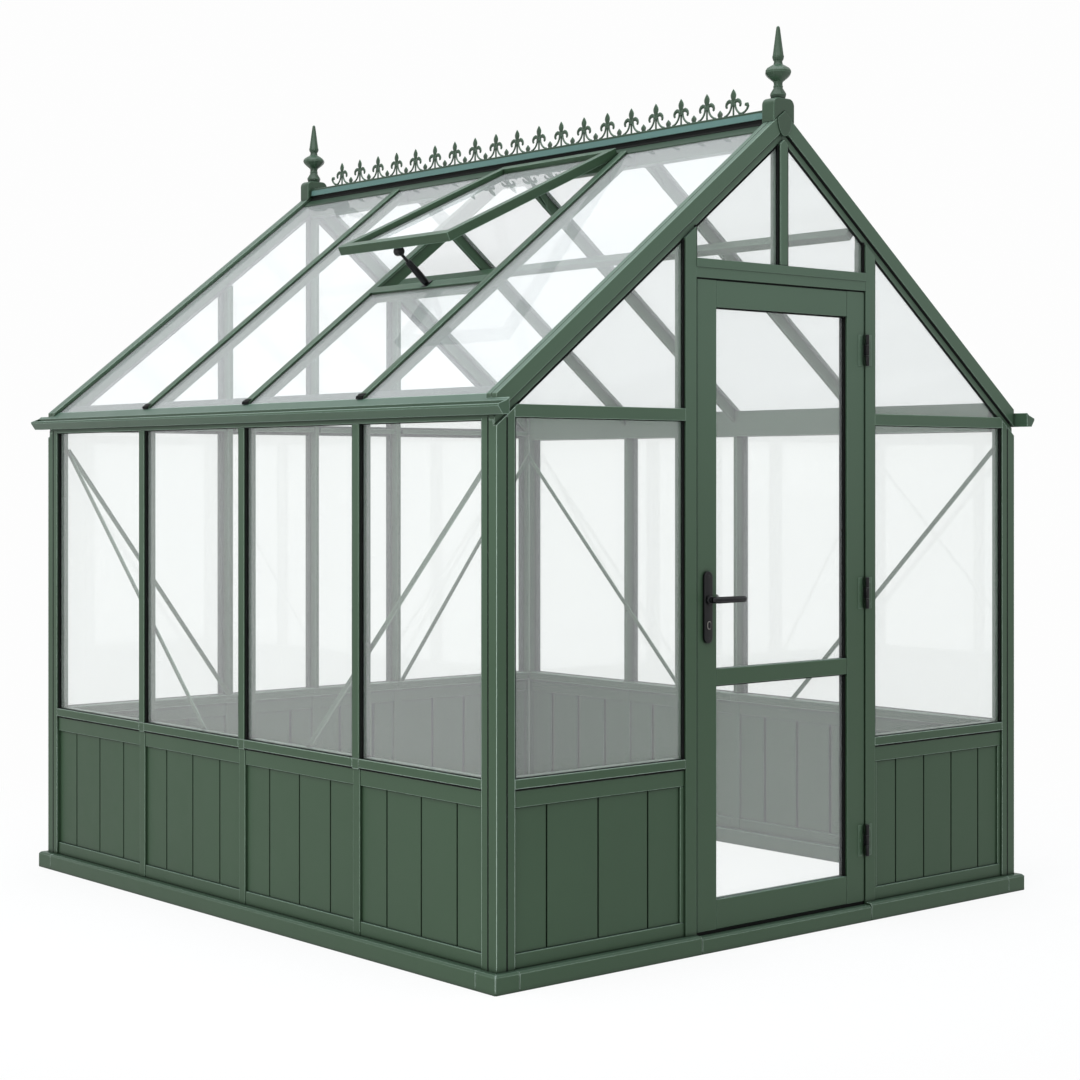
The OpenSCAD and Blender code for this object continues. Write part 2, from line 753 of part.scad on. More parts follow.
module side_glass() color(clear) both_sides() {
    both_ends() side_pane(bay_pitch + pane_half, half_l - corner_pane);
    both_ends() side_pane(pane_half, bay_pitch - pane_half);
}

// A pane of the gable at y = half_l, from x0 to x1, between z0 and z1 or the rake
module gable_pane(x0, x1, z0, z1 = far)
    along_y(half_l - cap_d - glass_t, half_l - cap_d) polygon([
        [x0, z0], [x1, z0],
        [x1, min(z1, roof_z(x1, gable_pane_down))], [x0, min(z1, roof_z(x0, gable_pane_down))]]);

pane_top = transom_z - pane_half;
pane_low = sill_top - channel_d;
upper_low = transom_z + pane_half;
corner_pane_x = half_w - corner_pane;

module front_glass() color(clear) mirror([0, 1, 0]) both_sides() {
    gable_pane(door_pane_out, corner_pane_x, pane_low, pane_top);
    gable_pane(door_pane_out, corner_pane_x, upper_low);
    gable_pane(pane_half, door_pane_in, head_top - channel_d);
}

module rear_glass() color(clear) both_sides() {
    gable_pane(door_pane_out, corner_pane_x, pane_low, pane_top);
    gable_pane(door_pane_out, corner_pane_x, upper_low);
    gable_pane(pane_half, door_pane_in, pane_low, pane_top);
    gable_pane(pane_half, door_pane_in, upper_low);
}

// A roof pane of the right slope from y0 to y1, from x0 out from the ridge to the eaves
module roof_pane(y0, y1, x0) intersection() {
    on_slope() box([0, y0, -glass_under], [2 * width, y1, -glass_down]);
    box([x0, -far, 0], [half_w - glass_gap, far, far]);
}

ridge_pane_x = ridge_beam_half + glass_gap;
end_pane = half_l - rake_core_back - glass_gap;

module right_roof_glass() color(clear) {
    both_ends() roof_pane(bay_pitch + pane_half, end_pane, ridge_pane_x);
    both_ends() roof_pane(pane_half, bay_pitch - pane_half, ridge_pane_x);
}

vent_pane_x = (vent_sill_s + pane_half) * cos(roof_pitch) - glass_down * sin(roof_pitch);

module left_roof_glass() color(clear) mirror([1, 0, 0]) {
    both_ends() roof_pane(bay_pitch + pane_half, end_pane, ridge_pane_x);
    roof_pane(pane_half, bay_pitch - pane_half, ridge_pane_x);
    roof_pane(-bay_pitch + pane_half, -pane_half, vent_pane_x);
}

// ---- Braces ----
// A flat bar from the corner (a1, z1) down to (a0, z0), drawn in (a, z) and trimmed to that box
module brace_outline(a0, z0, a1, z1) intersection() {
    translate([a0, z0]) rotate(atan2(z1 - z0, a1 - a0))
        translate([-brace_w * 2, -brace_w / 2])
            square([norm([a1 - a0, z1 - z0]) + brace_w * 4, brace_w]);
    translate([a0 - brace_w, z0]) square([a1 - a0 + brace_w + 1, z1 - z0 + brace_w]);
}

brace_top = wall_head - brace_down;
rear_brace_end = half_w - max(post_core, bar_d + brace_t + glass_gap);

module braces() color(green) both_sides() {
    both_ends() translate([half_w - bar_d - brace_t, 0, 0]) along_x(0, brace_t)
        brace_outline(brace_foot, sill_top, half_l - post_core, brace_top);
    along_y(half_l - bar_d - brace_t, half_l - bar_d)
        brace_outline(door_core_out, sill_top, rear_brace_end, brace_top);
}

// ---- Door ----
module door_stiles() color(green) difference() {
    union() {
        box([door_x0, door_front, door_z0], [door_x0 + stile_w, door_back, door_z1]);
        box([door_x1 - stile_w, door_front, door_z0], [door_x1, door_back, door_z1]);
    }
    door_glass_slot();
    translate([spindle_x, door_front - cut, spindle_z]) rotate([-90, 0, 0])
        cylinder(r = spindle_r + running_gap, h = door_t + 2 * cut);
}

door_in_x0 = door_x0 + stile_w;
door_in_x1 = door_x1 - stile_w;
bottom_z = door_z0 + bottom_rail_h;
top_z = door_z1 - top_rail_h;

// The space of the door's glass and the channels round it
module door_glass_slot() for (z = [[bottom_z, mid_z0], [mid_z1, top_z]])
    box([door_in_x0 - channel_d, door_glass_y - channel_play / 2, z[0] - channel_d],
        [door_in_x1 + channel_d, door_glass_y + glass_t + channel_play / 2, z[1] + channel_d]);

module door_rails() color(green) difference() {
    for (z = [[door_z0, bottom_z], [mid_z0, mid_z1], [top_z, door_z1]])
        box([door_in_x0, door_front, z[0]], [door_in_x1, door_back, z[1]]);
    door_glass_slot();
}

module door_glass() color(clear) for (z = [[bottom_z, mid_z0], [mid_z1, top_z]])
    box([door_in_x0 - channel_d + glass_gap, door_glass_y, z[0] - channel_d],
        [door_in_x1 + channel_d - glass_gap, door_glass_y + glass_t, z[1] + channel_d - glass_gap]);

// A handle plate with its face towards -y and its back on y = 0
module handle_plate() difference() {
    union() {
        box([spindle_x - plate_w / 2, -plate_t, spindle_z + plate_above - plate_h],
            [spindle_x + plate_w / 2, 0, spindle_z + plate_above]);
        translate([spindle_x, 0, spindle_z - key_down]) rotate([90, 0, 0])
            cylinder(r = key_r, h = plate_t + 2);
    }
    translate([spindle_x, cut, spindle_z]) rotate([90, 0, 0])
        cylinder(r = spindle_r + running_gap, h = plate_t + 2 * cut);
}

module handle_plates() color(black) {
    translate([0, door_front, 0]) handle_plate();
    translate([0, door_back, 0]) mirror([0, 1, 0]) handle_plate();
}

// One lever with its neck, seen from the side that it stands out of, towards -y
module lever_side() {
    rotate([90, 0, 0]) cylinder(r = neck_r, h = lever_off);
    translate([0, -lever_off, 0]) sphere(neck_r);
    translate([0, -lever_off, 0]) rotate([0, 90, 0]) cylinder(r = grip_r, h = lever_l - grip_r);
    translate([lever_l - grip_r, -lever_off, 0]) sphere(grip_r);
}

module door_lever() color(black) translate([spindle_x, 0, spindle_z]) {
    translate([0, door_front - plate_t - running_gap, 0]) lever_side();
    translate([0, door_back + plate_t + running_gap, 0]) mirror([0, 1, 0]) lever_side();
    translate([0, door_front - plate_t - 1, 0]) rotate([-90, 0, 0])
        cylinder(r = spindle_r, h = door_t + 2 * plate_t + 2);
}

// ---- Hinges ----
knuckle_l = (hinge_h - 2 * running_gap) / 3;

// The frame's half: two knuckles with the pin through them, and a plate on the door post
module frame_hinge() {
    for (z = [0, hinge_h - knuckle_l]) {
        translate([0, 0, z]) cylinder(r = knuckle_r, h = knuckle_l);
        box([0, -knuckle_r + 1, z], [knuckle_r + hinge_plate_t, hinge_out, z + knuckle_l]);
    }
    cylinder(r = hinge_pin_r, h = hinge_h);
    box([knuckle_r + 1.5, hinge_out - hinge_plate_t, 0],
        [knuckle_r + 1.5 + hinge_plate_w, hinge_out, hinge_h]);
}

// The door's half: the middle knuckle, bored for the pin, and a plate on the stile
module door_hinge() {
    z = knuckle_l + running_gap;
    difference() {
        union() {
            translate([0, 0, z]) cylinder(r = knuckle_r, h = knuckle_l);
            box([-knuckle_r - hinge_plate_t, -knuckle_r + 1, z],
                [0, hinge_out + door_in, z + knuckle_l]);
        }
        translate([0, 0, z - cut])
            cylinder(r = hinge_pin_r + running_gap, h = knuckle_l + 2 * cut);
        box([-hinge_gap / 2, hinge_out - 1, z - cut], [cut, far, z + knuckle_l + cut]);
    }
    box([-knuckle_r - 1.5 - hinge_plate_w, hinge_out + door_in - hinge_plate_t, 0],
        [-knuckle_r - 1.5, hinge_out + door_in, hinge_h]);
}

module at_hinges() for (z = hinge_z)
    translate([hinge_x, hinge_y, z - hinge_h / 2]) children();

module frame_hinges() color(black) at_hinges() frame_hinge();
module door_hinges() color(black) at_hinges() door_hinge();

base_sides();
base_rear();
base_front();
door_threshold();
corner_posts();
door_posts();
rear_posts();
side_mullions();
side_sills();
front_sills();
rear_sill();
side_panels();
front_panels();
rear_panel();
wall_plates();
left_gutter();
right_gutter();
transoms();
door_head();
front_centre_bar();
front_left_rake();
front_right_rake();
rear_left_rake();
rear_right_rake();
left_rafters();
right_rafters();
right_purlin();
ridge_beam();
ridge_cap();
ridge_crest();
ridge_end_blocks();
finials();
vent_frame();
vent_glass();
vent_sill();
vent_opener();
side_glass();
front_glass();
rear_glass();
left_roof_glass();
right_roof_glass();
braces();
frame_hinges();
door_stiles();
door_rails();
door_glass();
handle_plates();
door_hinges();
door_lever();
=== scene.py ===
"""A glass greenhouse: the visible pieces and their finishes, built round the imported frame.

Lengths are metres. +X is to the right of someone facing the door, +Y runs along the ridge
to the back, +Z is up, and the origin is on the ground at the middle of the footprint.
"""
import math

import bmesh
import bpy
from mathutils import Matrix, Vector


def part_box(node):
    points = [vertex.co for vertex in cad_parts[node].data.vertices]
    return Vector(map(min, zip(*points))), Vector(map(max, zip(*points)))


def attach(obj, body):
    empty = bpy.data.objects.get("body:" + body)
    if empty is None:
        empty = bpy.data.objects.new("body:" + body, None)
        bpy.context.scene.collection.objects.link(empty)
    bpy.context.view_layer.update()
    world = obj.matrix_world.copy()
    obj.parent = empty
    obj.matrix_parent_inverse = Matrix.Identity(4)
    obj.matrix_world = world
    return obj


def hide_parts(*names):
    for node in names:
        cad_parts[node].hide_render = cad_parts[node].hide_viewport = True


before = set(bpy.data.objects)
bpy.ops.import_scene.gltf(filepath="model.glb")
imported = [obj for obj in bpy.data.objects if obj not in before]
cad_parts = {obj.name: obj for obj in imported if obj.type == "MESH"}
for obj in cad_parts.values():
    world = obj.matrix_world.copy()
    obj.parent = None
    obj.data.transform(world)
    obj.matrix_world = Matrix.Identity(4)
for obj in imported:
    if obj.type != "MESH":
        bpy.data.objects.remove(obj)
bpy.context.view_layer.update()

# ---- Plinth ----
# A chamfered base rail of folded aluminium runs round the building and carries the posts.
# It comes in straight lengths with mitred corner pieces, powder coated in dark sage green,
# butted with a fine seam and pinned to the ground.
half_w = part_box("corner_posts")[1].x
half_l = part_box("corner_posts")[1].y
plinth_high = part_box("base_sides")[1]
plinth_out = plinth_high.x - half_w
plinth_top = plinth_high.z
post_w = half_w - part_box("base_rear")[1].x
door_clear = 0.380
plinth_chamfer = 0.006
plinth_seam = 0.0012
threshold_drop = 0.006
corner_piece = 0.062
mitre_gap = 0.0002

# Each wall's own frame: x runs to the right of someone outside who faces the wall, y runs
# into the building from the posts' outer faces, and z is up.
walls = {
    "front": Matrix.Translation((0, -half_l, 0)),
    "rear": Matrix.Translation((0, half_l, 0)) @ Matrix.Rotation(math.pi, 4, "Z"),
    "left": Matrix.Translation((-half_w, 0, 0)) @ Matrix.Rotation(-math.pi / 2, 4, "Z"),
    "right": Matrix.Translation((half_w, 0, 0)) @ Matrix.Rotation(math.pi / 2, 4, "Z"),
}
wall_half = {"front": half_w, "rear": half_w, "left": half_l, "right": half_l}


def shader_tree(name, inputs, outputs):
    """Starts a shader node group with named sockets, by kind."""
    tree = bpy.data.node_groups.new(name, "ShaderNodeTree")
    for direction, sockets in (("INPUT", inputs), ("OUTPUT", outputs)):
        for kind, names in sockets:
            for socket in names:
                tree.interface.new_socket(socket, in_out=direction, socket_type="NodeSocket" + kind)
    return tree, tree.nodes.new("NodeGroupInput"), tree.nodes.new("NodeGroupOutput")


def added(tree, kind, inputs=None, **settings):
    """Adds a shader node with its settings, and a link or a constant on each input given."""
    made = tree.nodes.new("ShaderNode" + kind)
    for name, value in settings.items():
        setattr(made, name, value)
    for socket, value in (inputs or {}).items():
        if isinstance(value, bpy.types.NodeSocket):
            tree.links.new(value, made.inputs[socket])
        else:
            made.inputs[socket].default_value = value
    return made


def noise(tree, coordinates, scale, detail):
    """A noise texture, in bumps a metre."""
    inputs = {"Vector": coordinates, "Scale": scale, "Detail": detail}
    return added(tree, "TexNoise", inputs).outputs["Fac"]


def ranged(tree, value, low, high, to_low=0, to_high=1):
    """Maps a value between two limits onto two others."""
    inputs = {"Value": value, "From Min": low, "From Max": high, "To Min": to_low, "To Max": to_high}
    return added(tree, "MapRange", inputs).outputs["Result"]


def calculated(tree, operation, first, second):
    """A Math node on two sockets or numbers."""
    return added(tree, "Math", {0: first, 1: second}, operation=operation).outputs["Value"]


def scaled(tree, colour, factor):
    """A colour made lighter or darker by a factor."""
    return added(tree, "VectorMath", {0: colour, "Scale": factor}, operation="SCALE").outputs["Vector"]


def mixed(tree, share, first, second):
    """A colour mix by a share."""
    inputs = {"Factor": share, "A": first, "B": second}
    return added(tree, "Mix", inputs, data_type="RGBA").outputs["Result"]


def split(tree, vector):
    """The X, Y and Z of a vector."""
    return added(tree, "SeparateXYZ", {"Vector": vector}).outputs


def coat_and_painted_light_group():
    """Powder coat on metal: slow drifts of tone, fading towards the roof, a painted highlight on
    the open arrises, painted shade in crevices, a chalky bloom with painted sky light on what
    faces the sky, and the coat's orange peel as a height."""
    tree, given, result = shader_tree(
        "Powder coat and painted light",
        (("Color", ("Colour", "Painted arris colour", "Bloom and sky light colour", "Faded colour")),
         ("Float", ("Fading", "Drift", "Roughness"))),
        (("Color", ("Colour",)), ("Float", ("Roughness", "Height"))))
    wanted = given.outputs
    place = added(tree, "TexCoord").outputs["Object"]
    drift = noise(tree, place, 2.3, 3)
    blotch = noise(tree, place, 17, 4)
    peel = noise(tree, place, 240, 1)
    tone = calculated(tree, "ADD", calculated(tree, "MULTIPLY", drift, 0.7),
                      calculated(tree, "MULTIPLY", blotch, 0.3))
    swing = calculated(tree, "MULTIPLY", calculated(tree, "SUBTRACT", tone, 0.5), wanted["Drift"])
    # The upper parts stand in more sun and have faded a little
    height = split(tree, place)["Z"]
    faded = calculated(tree, "MULTIPLY", ranged(tree, height, 0.9, 2.0), wanted["Fading"])
    toned = scaled(tree, mixed(tree, faded, wanted["Colour"], wanted["Faded colour"]),
                   calculated(tree, "ADD", swing, 1))
    # Painted highlight on the open arrises (painted shade on the boards, whose arris colour is darker):
    # it goes where the normal of a wider rounding leaves the true normal
    rounded = added(tree, "Bevel", {"Radius": 0.0028}, samples=4).outputs["Normal"]
    normal = added(tree, "NewGeometry").outputs["Normal"]
    bend = added(tree, "VectorMath", {0: rounded, 1: normal}, operation="DOT_PRODUCT").outputs["Value"]
    # Painted shade: crevices and hollows are darkened by how much they are hidden, and get no arris colour
    openness = added(tree, "AmbientOcclusion", {"Distance": 0.014}, samples=4).outputs["AO"]
    painted_arris_mask = calculated(tree, "MULTIPLY", ranged(tree, bend, 0.99, 0.88),
                      ranged(tree, openness, 0.78, 0.94))
    # Painted sky light, partly a chalky dust bloom: what faces the sky turns paler
    skyward = ranged(tree, split(tree, normal)["Z"], 0.3, 0.95)
    bloom_and_skylit = mixed(tree, skyward, toned, wanted["Bloom and sky light colour"])
    crevice_shaded = scaled(tree, mixed(tree, painted_arris_mask, bloom_and_skylit, wanted["Painted arris colour"]),
                    ranged(tree, openness, 0.4, 0.93, 0.3, 1))
    patches = calculated(tree, "MULTIPLY", calculated(tree, "SUBTRACT", blotch, 0.5), 0.14)
    tree.links.new(crevice_shaded, result.inputs["Colour"])
    tree.links.new(calculated(tree, "ADD", wanted["Roughness"], patches), result.inputs["Roughness"])
    tree.links.new(peel, result.inputs["Height"])
    return tree


coat_and_painted_light = coat_and_painted_light_group()
faded_sage = (0.060, 0.100, 0.067, 1)


def finished(name):
    """A new material, its node tree and its Principled shader."""
    made = bpy.data.materials.new(name)
    made.use_nodes = True
    return made, made.node_tree, made.node_tree.nodes["Principled BSDF"]


def coated(name, colour, painted_arris_colour, bloom_and_skylight, roughness=0.42, drift=0.16, peel=0.00001,
           shine=0.27, fading=0.0):
    """A powder-coated metal finish."""
    made, tree, shader = finished(name)
    inputs = {"Colour": (*colour, 1), "Painted arris colour": (*painted_arris_colour, 1), "Bloom and sky light colour": (*bloom_and_skylight, 1),
              "Faded colour": faded_sage, "Drift": drift, "Roughness": roughness, "Fading": fading}
    coat = added(tree, "Group", inputs, node_tree=coat_and_painted_light)
    bump = added(tree, "Bump", {"Distance": peel, "Height": coat.outputs["Height"]})
    tree.links.new(coat.outputs["Colour"], shader.inputs["Base Color"])
    tree.links.new(coat.outputs["Roughness"], shader.inputs["Roughness"])
    tree.links.new(bump.outputs["Normal"], shader.inputs["Normal"])
    shader.inputs["Specular IOR Level"].default_value = shine
    return made


sage = (0.031, 0.0625, 0.0325)
# A strong painted highlight on the arrises of the plinth, corner posts and sills
sage_outer = coated("Sage powder coat with painted arris highlights", sage, (0.56, 0.68, 0.60),
                    (0.045, 0.080, 0.052), fading=0.75)


def prism(bm, ring, shift):
    """Extrudes a closed ring of points by a shift."""
    near = [bm.verts.new(point) for point in ring]
    made = bmesh.ops.extrude_face_region(bm, geom=[bm.faces.new(near)])["geom"]
    far = [v for v in made if isinstance(v, bmesh.types.BMVert)]
    bmesh.ops.translate(bm, verts=far, vec=shift)
    return near + far


def outline_run(bm, outline, start, end):
    """Extrudes a closed outline, drawn in (y, z), along x from start to end."""
    return prism(bm, [(start, y, z) for y, z in outline], (end - start, 0, 0))


def eased(bm, edges, radius, segments):
    """Rounds these edges, or chamfers them with one segment."""
    bmesh.ops.bevel(bm, geom=edges, offset=radius, offset_type="OFFSET", segments=segments,
                    profile=0.5, affect="EDGES", clamp_overlap=True, material=-1)


def soften(bm, radius, segments=2, least=25):
    """Rounds every arris that turns by more than a few degrees."""
    bmesh.ops.recalc_face_normals(bm, faces=bm.faces)
    sharp = [e for e in bm.edges if e.is_manifold and e.calc_face_angle() > math.radians(least)]
    eased(bm, sharp, radius, segments)


def piece(name, bm, finish, slot, *nodes, body="frame", smooth=None):
    """Makes the bmesh a piece that rides on a body and stands for CAD nodes."""
    bmesh.ops.recalc_face_normals(bm, faces=bm.faces)
    mesh = bpy.data.meshes.new(name)
    bm.to_mesh(mesh)
    bm.free()
    mesh.materials.append(finish)
    if smooth is not None:
        mesh.shade_smooth()
        mesh.set_sharp_from_angle(angle=math.radians(smooth))
    made = bpy.data.objects.new(name, mesh)
    bpy.context.scene.collection.objects.link(made)
    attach(made, body)
    if nodes:
        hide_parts(*nodes)
    return made


def joined(bm, part):
    """Adds a second bmesh's faces to the first and frees the second."""
    mesh = bpy.data.meshes.new("part")
    part.to_mesh(mesh)
    part.free()
    bm.from_mesh(mesh)
    bpy.data.meshes.remove(mesh)


def clipped(bm, point, normal, dist=1e-6):
    """Saws off what lies beyond a plane and closes the cut."""
    cut = bmesh.ops.bisect_plane(bm, geom=bm.verts[:] + bm.edges[:] + bm.faces[:], dist=dist,
                                 plane_co=point, plane_no=normal, clear_outer=True)
    rim = [e for e in cut["geom_cut"] if isinstance(e, bmesh.types.BMEdge)]
    bmesh.ops.contextual_create(bm, geom=rim)


def on_wall(bm, wall, verts):
    """Carries vertices from a wall's own frame to that wall."""
    bmesh.ops.transform(bm, matrix=walls[wall], verts=verts)


plinth_section = (
    (-plinth_out, 0), (-plinth_out, plinth_top - plinth_chamfer),
    (-plinth_out + plinth_chamfer, plinth_top), (post_w, plinth_top), (post_w, 0))


def plinth_lengths(bm, wall, stations, lowered=()):
    """Straight lengths between stations along a wall, with a seam at each. The numbered
    lengths are lower, for the threshold."""
    for i, (start, end) in enumerate(zip(stations, stations[1:])):
        made = outline_run(bm, plinth_section, start + plinth_seam / 2, end - plinth_seam / 2)
        if i in lowered:
            bmesh.ops.translate(bm, verts=[v for v in made if v.co.z > plinth_top / 2],
                                vec=(0, 0, -threshold_drop))
        on_wall(bm, wall, made)


def plinth_corners(bm, wall):
    """The mitred half of each corner piece that lies on this wall."""
    half = wall_half[wall]
    for side in (-1, 1):
        part = bmesh.new()
        outline_run(part, plinth_section, side * (half - corner_piece), side * (half + 2 * plinth_out))
        clipped(part, (side * (half - mitre_gap), 0, 0), (side, 1, 0))
        on_wall(part, wall, part.verts)
        joined(bm, part)


plinth = bmesh.new()
for wall in walls:
    reach = wall_half[wall] - corner_piece
    if wall == "front":
        plinth_lengths(plinth, wall, (-reach, -door_clear, door_clear, reach), lowered=(1,))
    else:
        plinth_lengths(plinth, wall, (-reach, reach))
    plinth_corners(plinth, wall)
soften(plinth, 0.0016)
piece("plinth", plinth, sage_outer, "green_frame",
      "base_sides", "base_rear", "base_front", "door_threshold")

# ---- Corner posts and wall bars ----
# Corner posts, glazing bars, door posts, transoms and the door head are extruded aluminium
# with small rounded arrises, sawn to length and screwed together from the inside.
arris = 0.0022
# A paler colour for what faces the sky: a dust bloom and painted sky light
sage_bloom_and_skylight = (0.085, 0.135, 0.105)
sage_frame = coated("Sage powder coat", sage, (0.30, 0.40, 0.32), sage_bloom_and_skylight, fading=0.75)


def whole_faces(node):
    """A bmesh of a CAD node with its flat faces whole again."""
    bm = bmesh.new()
    bm.from_mesh(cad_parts[node].data)
    bmesh.ops.remove_doubles(bm, verts=bm.verts, dist=1e-5)
    bmesh.ops.dissolve_limit(bm, angle_limit=math.radians(1), verts=bm.verts, edges=bm.edges)
    return bm


def extruded_bars(name, finish, slot, *nodes, radius=arris, body="frame"):
    """The CAD bars of these nodes with rounded arrises."""
    bars = bmesh.new()
    for node in nodes:
        part = whole_faces(node)
        soften(part, radius)
        joined(bars, part)
    return piece(name, bars, finish, slot, *nodes, body=body)


extruded_bars("corner_post_bars", sage_outer, "green_frame", "corner_posts", radius=0.0018)
extruded_bars("wall_bars", sage_frame, "green_frame", "side_mullions", "rear_posts", "front_centre_bar")
extruded_bars("transom_bars", sage_frame, "green_frame", "transoms")
extruded_bars("wall_plate_bars", sage_frame, "green_frame", "wall_plates")

# ---- Door head ----
# A hollow rail over the doorway with a separate glazing sill on top of it. The sill stands
# slightly proud, so a fine shadow line shows between the two.
head_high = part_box("door_head")[1]
sill_on_head = 0.027
sill_proud = 0.0025
sill_lap = 0.006
sage_leaf = coated("Sage powder coat on door", sage, (0.11, 0.165, 0.12), sage_bloom_and_skylight, fading=0.9)


def block(bm, low, high):
    """A box between two corners."""
    made = bmesh.ops.create_cube(bm, size=1)["verts"]
    bmesh.ops.scale(bm, verts=made, vec=[b - a for a, b in zip(low, high)])
    bmesh.ops.translate(bm, verts=made, vec=[(a + b) / 2 for a, b in zip(low, high)])
    return made


head = whole_faces("door_head")
soften(head, 0.0016)
strip = bmesh.new()
block(strip, (-head_high.x + 0.0005, -half_l - sill_proud, head_high.z - sill_on_head),
      (head_high.x - 0.0005, -half_l + sill_lap, head_high.z - 0.0006))
soften(strip, 0.0012)
joined(head, strip)
piece("door_head_rail", head, sage_leaf, "green_frame", "door_head")

# ---- Sills ----
# The glazing sills are extruded lengths between the uprights, with a glass channel on top
# and a shadow gap underneath, filled by a black strip as painted shade. A cover hides the joint at each
# upright.
sill_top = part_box("side_sills")[1].z
sill_face = 0.027
sill_deep = 0.060
gap_in = 0.008
channel_out, channel_in, channel_deep = 0.01375, 0.01825, 0.012
joint = 0.0008
bar_w = 0.033
panel_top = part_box("side_panels")[1].z
door_post_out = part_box("door_threshold")[1].x
bar_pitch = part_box("side_mullions")[1].y - bar_w / 2
rear_pitch = (door_clear + door_post_out) / 2
bar_lines = (-bar_pitch, 0, bar_pitch)
rear_lines = (-rear_pitch, 0, rear_pitch)
# Black for the rubber parts, and for strips that stand in as painted shade in gaps, grooves and reveals
black_rubber_and_shade = coated("Black rubber and painted shade", (0.0035, 0.0042, 0.0038), (0.008, 0.009, 0.008),
                      (0.006, 0.007, 0.006), roughness=0.62, shine=0.1)

sill_section = (
    (0, sill_top - sill_face), (0, sill_top), (channel_out, sill_top),
    (channel_out, sill_top - channel_deep), (channel_in, sill_top - channel_deep),
    (channel_in, sill_top), (sill_deep, sill_top), (sill_deep, panel_top), (gap_in, panel_top),
    (gap_in, sill_top - sill_face))


def wall_block(bm, wall, low, high):
    """A box between two corners in a wall's own frame."""
    on_wall(bm, wall, block(bm, low, high))


def openings(end, lines, width):
    """What bars of one width, centred on the lines, leave open between -end and end."""
    edges = [-end]
    for line in lines:
        edges += [line - width / 2, line + width / 2]
    edges.append(end)
    return list(zip(edges[::2], edges[1::2]))


def sill_stations(wall):
    """Pairs of ends of each sill length along a wall, and the uprights' lines between them."""
    end = wall_half[wall] - post_w
    if wall == "front":
        return ((-end, -door_post_out), (door_post_out, end)), ()
    lines = rear_lines if wall == "rear" else bar_lines
    return openings(end, lines, bar_w), lines


def sill_run(wall):
    """A wall's sills, with the covers over the joints at its uprights."""
    bm = bmesh.new()
    lengths, lines = sill_stations(wall)
    for start, end in lengths:
        on_wall(bm, wall, outline_run(bm, sill_section, start + joint / 2, end - joint / 2))
    for line in lines:
        wall_block(bm, wall, (line - bar_w / 2 + joint / 2, 0, panel_top - 0.001),
                   (line + bar_w / 2 - joint / 2, sill_deep, sill_top))
    soften(bm, 0.0014)
    return bm


for wall, node in (("front", "front_sills"), ("rear", "rear_sill"),
                   ("left", "side_sills"), ("right", "side_sills")):
    piece(wall + "_sill_run", sill_run(wall), sage_outer, "green_frame", node)

sill_gap_low = panel_top - 0.0022
# Black strips in the gaps under the sills, as painted shade
gap_shade_strips = bmesh.new()
for wall in walls:
    for start, end in sill_stations(wall)[0]:
        wall_block(gap_shade_strips, wall, (start + 0.001, 0.0035, sill_gap_low),
                   (end - 0.001, gap_in - 0.0002, sill_top - sill_face - 0.0002))
soften(gap_shade_strips, 0.0006)
piece("sill_gap_shade_strips", gap_shade_strips, black_rubber_and_shade, "green_frame")

# ---- Kick panels ----
# Below the sills each bay is a frame of flat rails and stiles, filled with upright boards on
# both faces of a core painted black as shade in the grooves. The boards have eased edges, so each joint is a
# narrow groove.
panel_in = 0.006
panel_back = 0.046
top_rail = 0.050
bottom_rail = 0.042
stile = 0.034
gable_stile = 0.017
rail_joint = 0.0006
cover_proud = 0.002
board_joint = 0.0003
core = (0.0200, 0.0367)
# (front of the boards, their back, groove between them), for the outer and the inner face
board_layers = ((0.0125, 0.0195, 0.0045), (0.0372, 0.0398, 0.0110))
edge_overrun = board_layers[0][2] / 2
side_board = 0.165
# The boards' arris colour is darker than their face: painted shade along the joints between them
sage_boards = coated("Sage powder coat on boards", (0.030, 0.061, 0.0315), (0.017, 0.034, 0.018),
                     sage_bloom_and_skylight, roughness=0.46, drift=0.22)


def bay_frame(bm, start, end, stile_start, stile_end):
    """Rails of one bay from start to end, with a narrow stile at either end where given."""
    rails = ((plinth_top, plinth_top + bottom_rail), (panel_top - top_rail, sill_gap_low - 0.0002))
    for low, high in rails:
        block(bm, (start + rail_joint, panel_in, low + rail_joint),
              (end - rail_joint, panel_back, high))
    inner_low = rails[0][1] + rail_joint
    inner_high = rails[1][0] - rail_joint
    for at, width in ((start, stile_start), (end, -stile_end)):
        if width:
            low, high = sorted((at + math.copysign(rail_joint, width), at + width))
            block(bm, (low, panel_in + 0.0005, inner_low), (high, panel_back, inner_high))
    return start + stile_start, end - stile_end, inner_low, inner_high


def bay_boards(bm, start, end, low, high, width, count):
    """Upright boards of one width, centred in the opening, with the outer two cut to fit."""
    middle = (start + end) / 2
    joints = [middle + (i - (count - 2) / 2) * width for i in range(count - 1)]
    edges = [start - edge_overrun] + joints + [end + edge_overrun]
    for a, b in zip(edges, edges[1:]):
        for front, back, gap in board_layers:
            block(bm, (a + gap / 2 + board_joint, front, low + board_joint),
                  (b - gap / 2 - board_joint, back, high - board_joint))


def kick_wall(wall, bays, covers):
    """The frames, boards and cores of one wall. Covers are the uprights' lines that run down
    between two bays to the plinth."""
    frames, boards, cores = bmesh.new(), bmesh.new(), bmesh.new()
    for start, end, stile_start, stile_end, width, count in bays:
        left, right, low, high = bay_frame(frames, start, end, stile_start, stile_end)
        bay_boards(boards, left, right, low, high, width, count)
        block(cores, (left + board_joint, core[0], low + board_joint),
              (right - board_joint, core[1], high - board_joint))
    for line in covers:
        block(frames, (line - stile / 2, panel_in - cover_proud, plinth_top + rail_joint),
              (line + stile / 2, panel_back + cover_proud, panel_top - 0.0012))
    for bm, radius in ((frames, 0.0016), (boards, 0.0012), (cores, 0.0006)):
        soften(bm, radius)
        on_wall(bm, wall, bm.verts)
    return frames, boards, cores


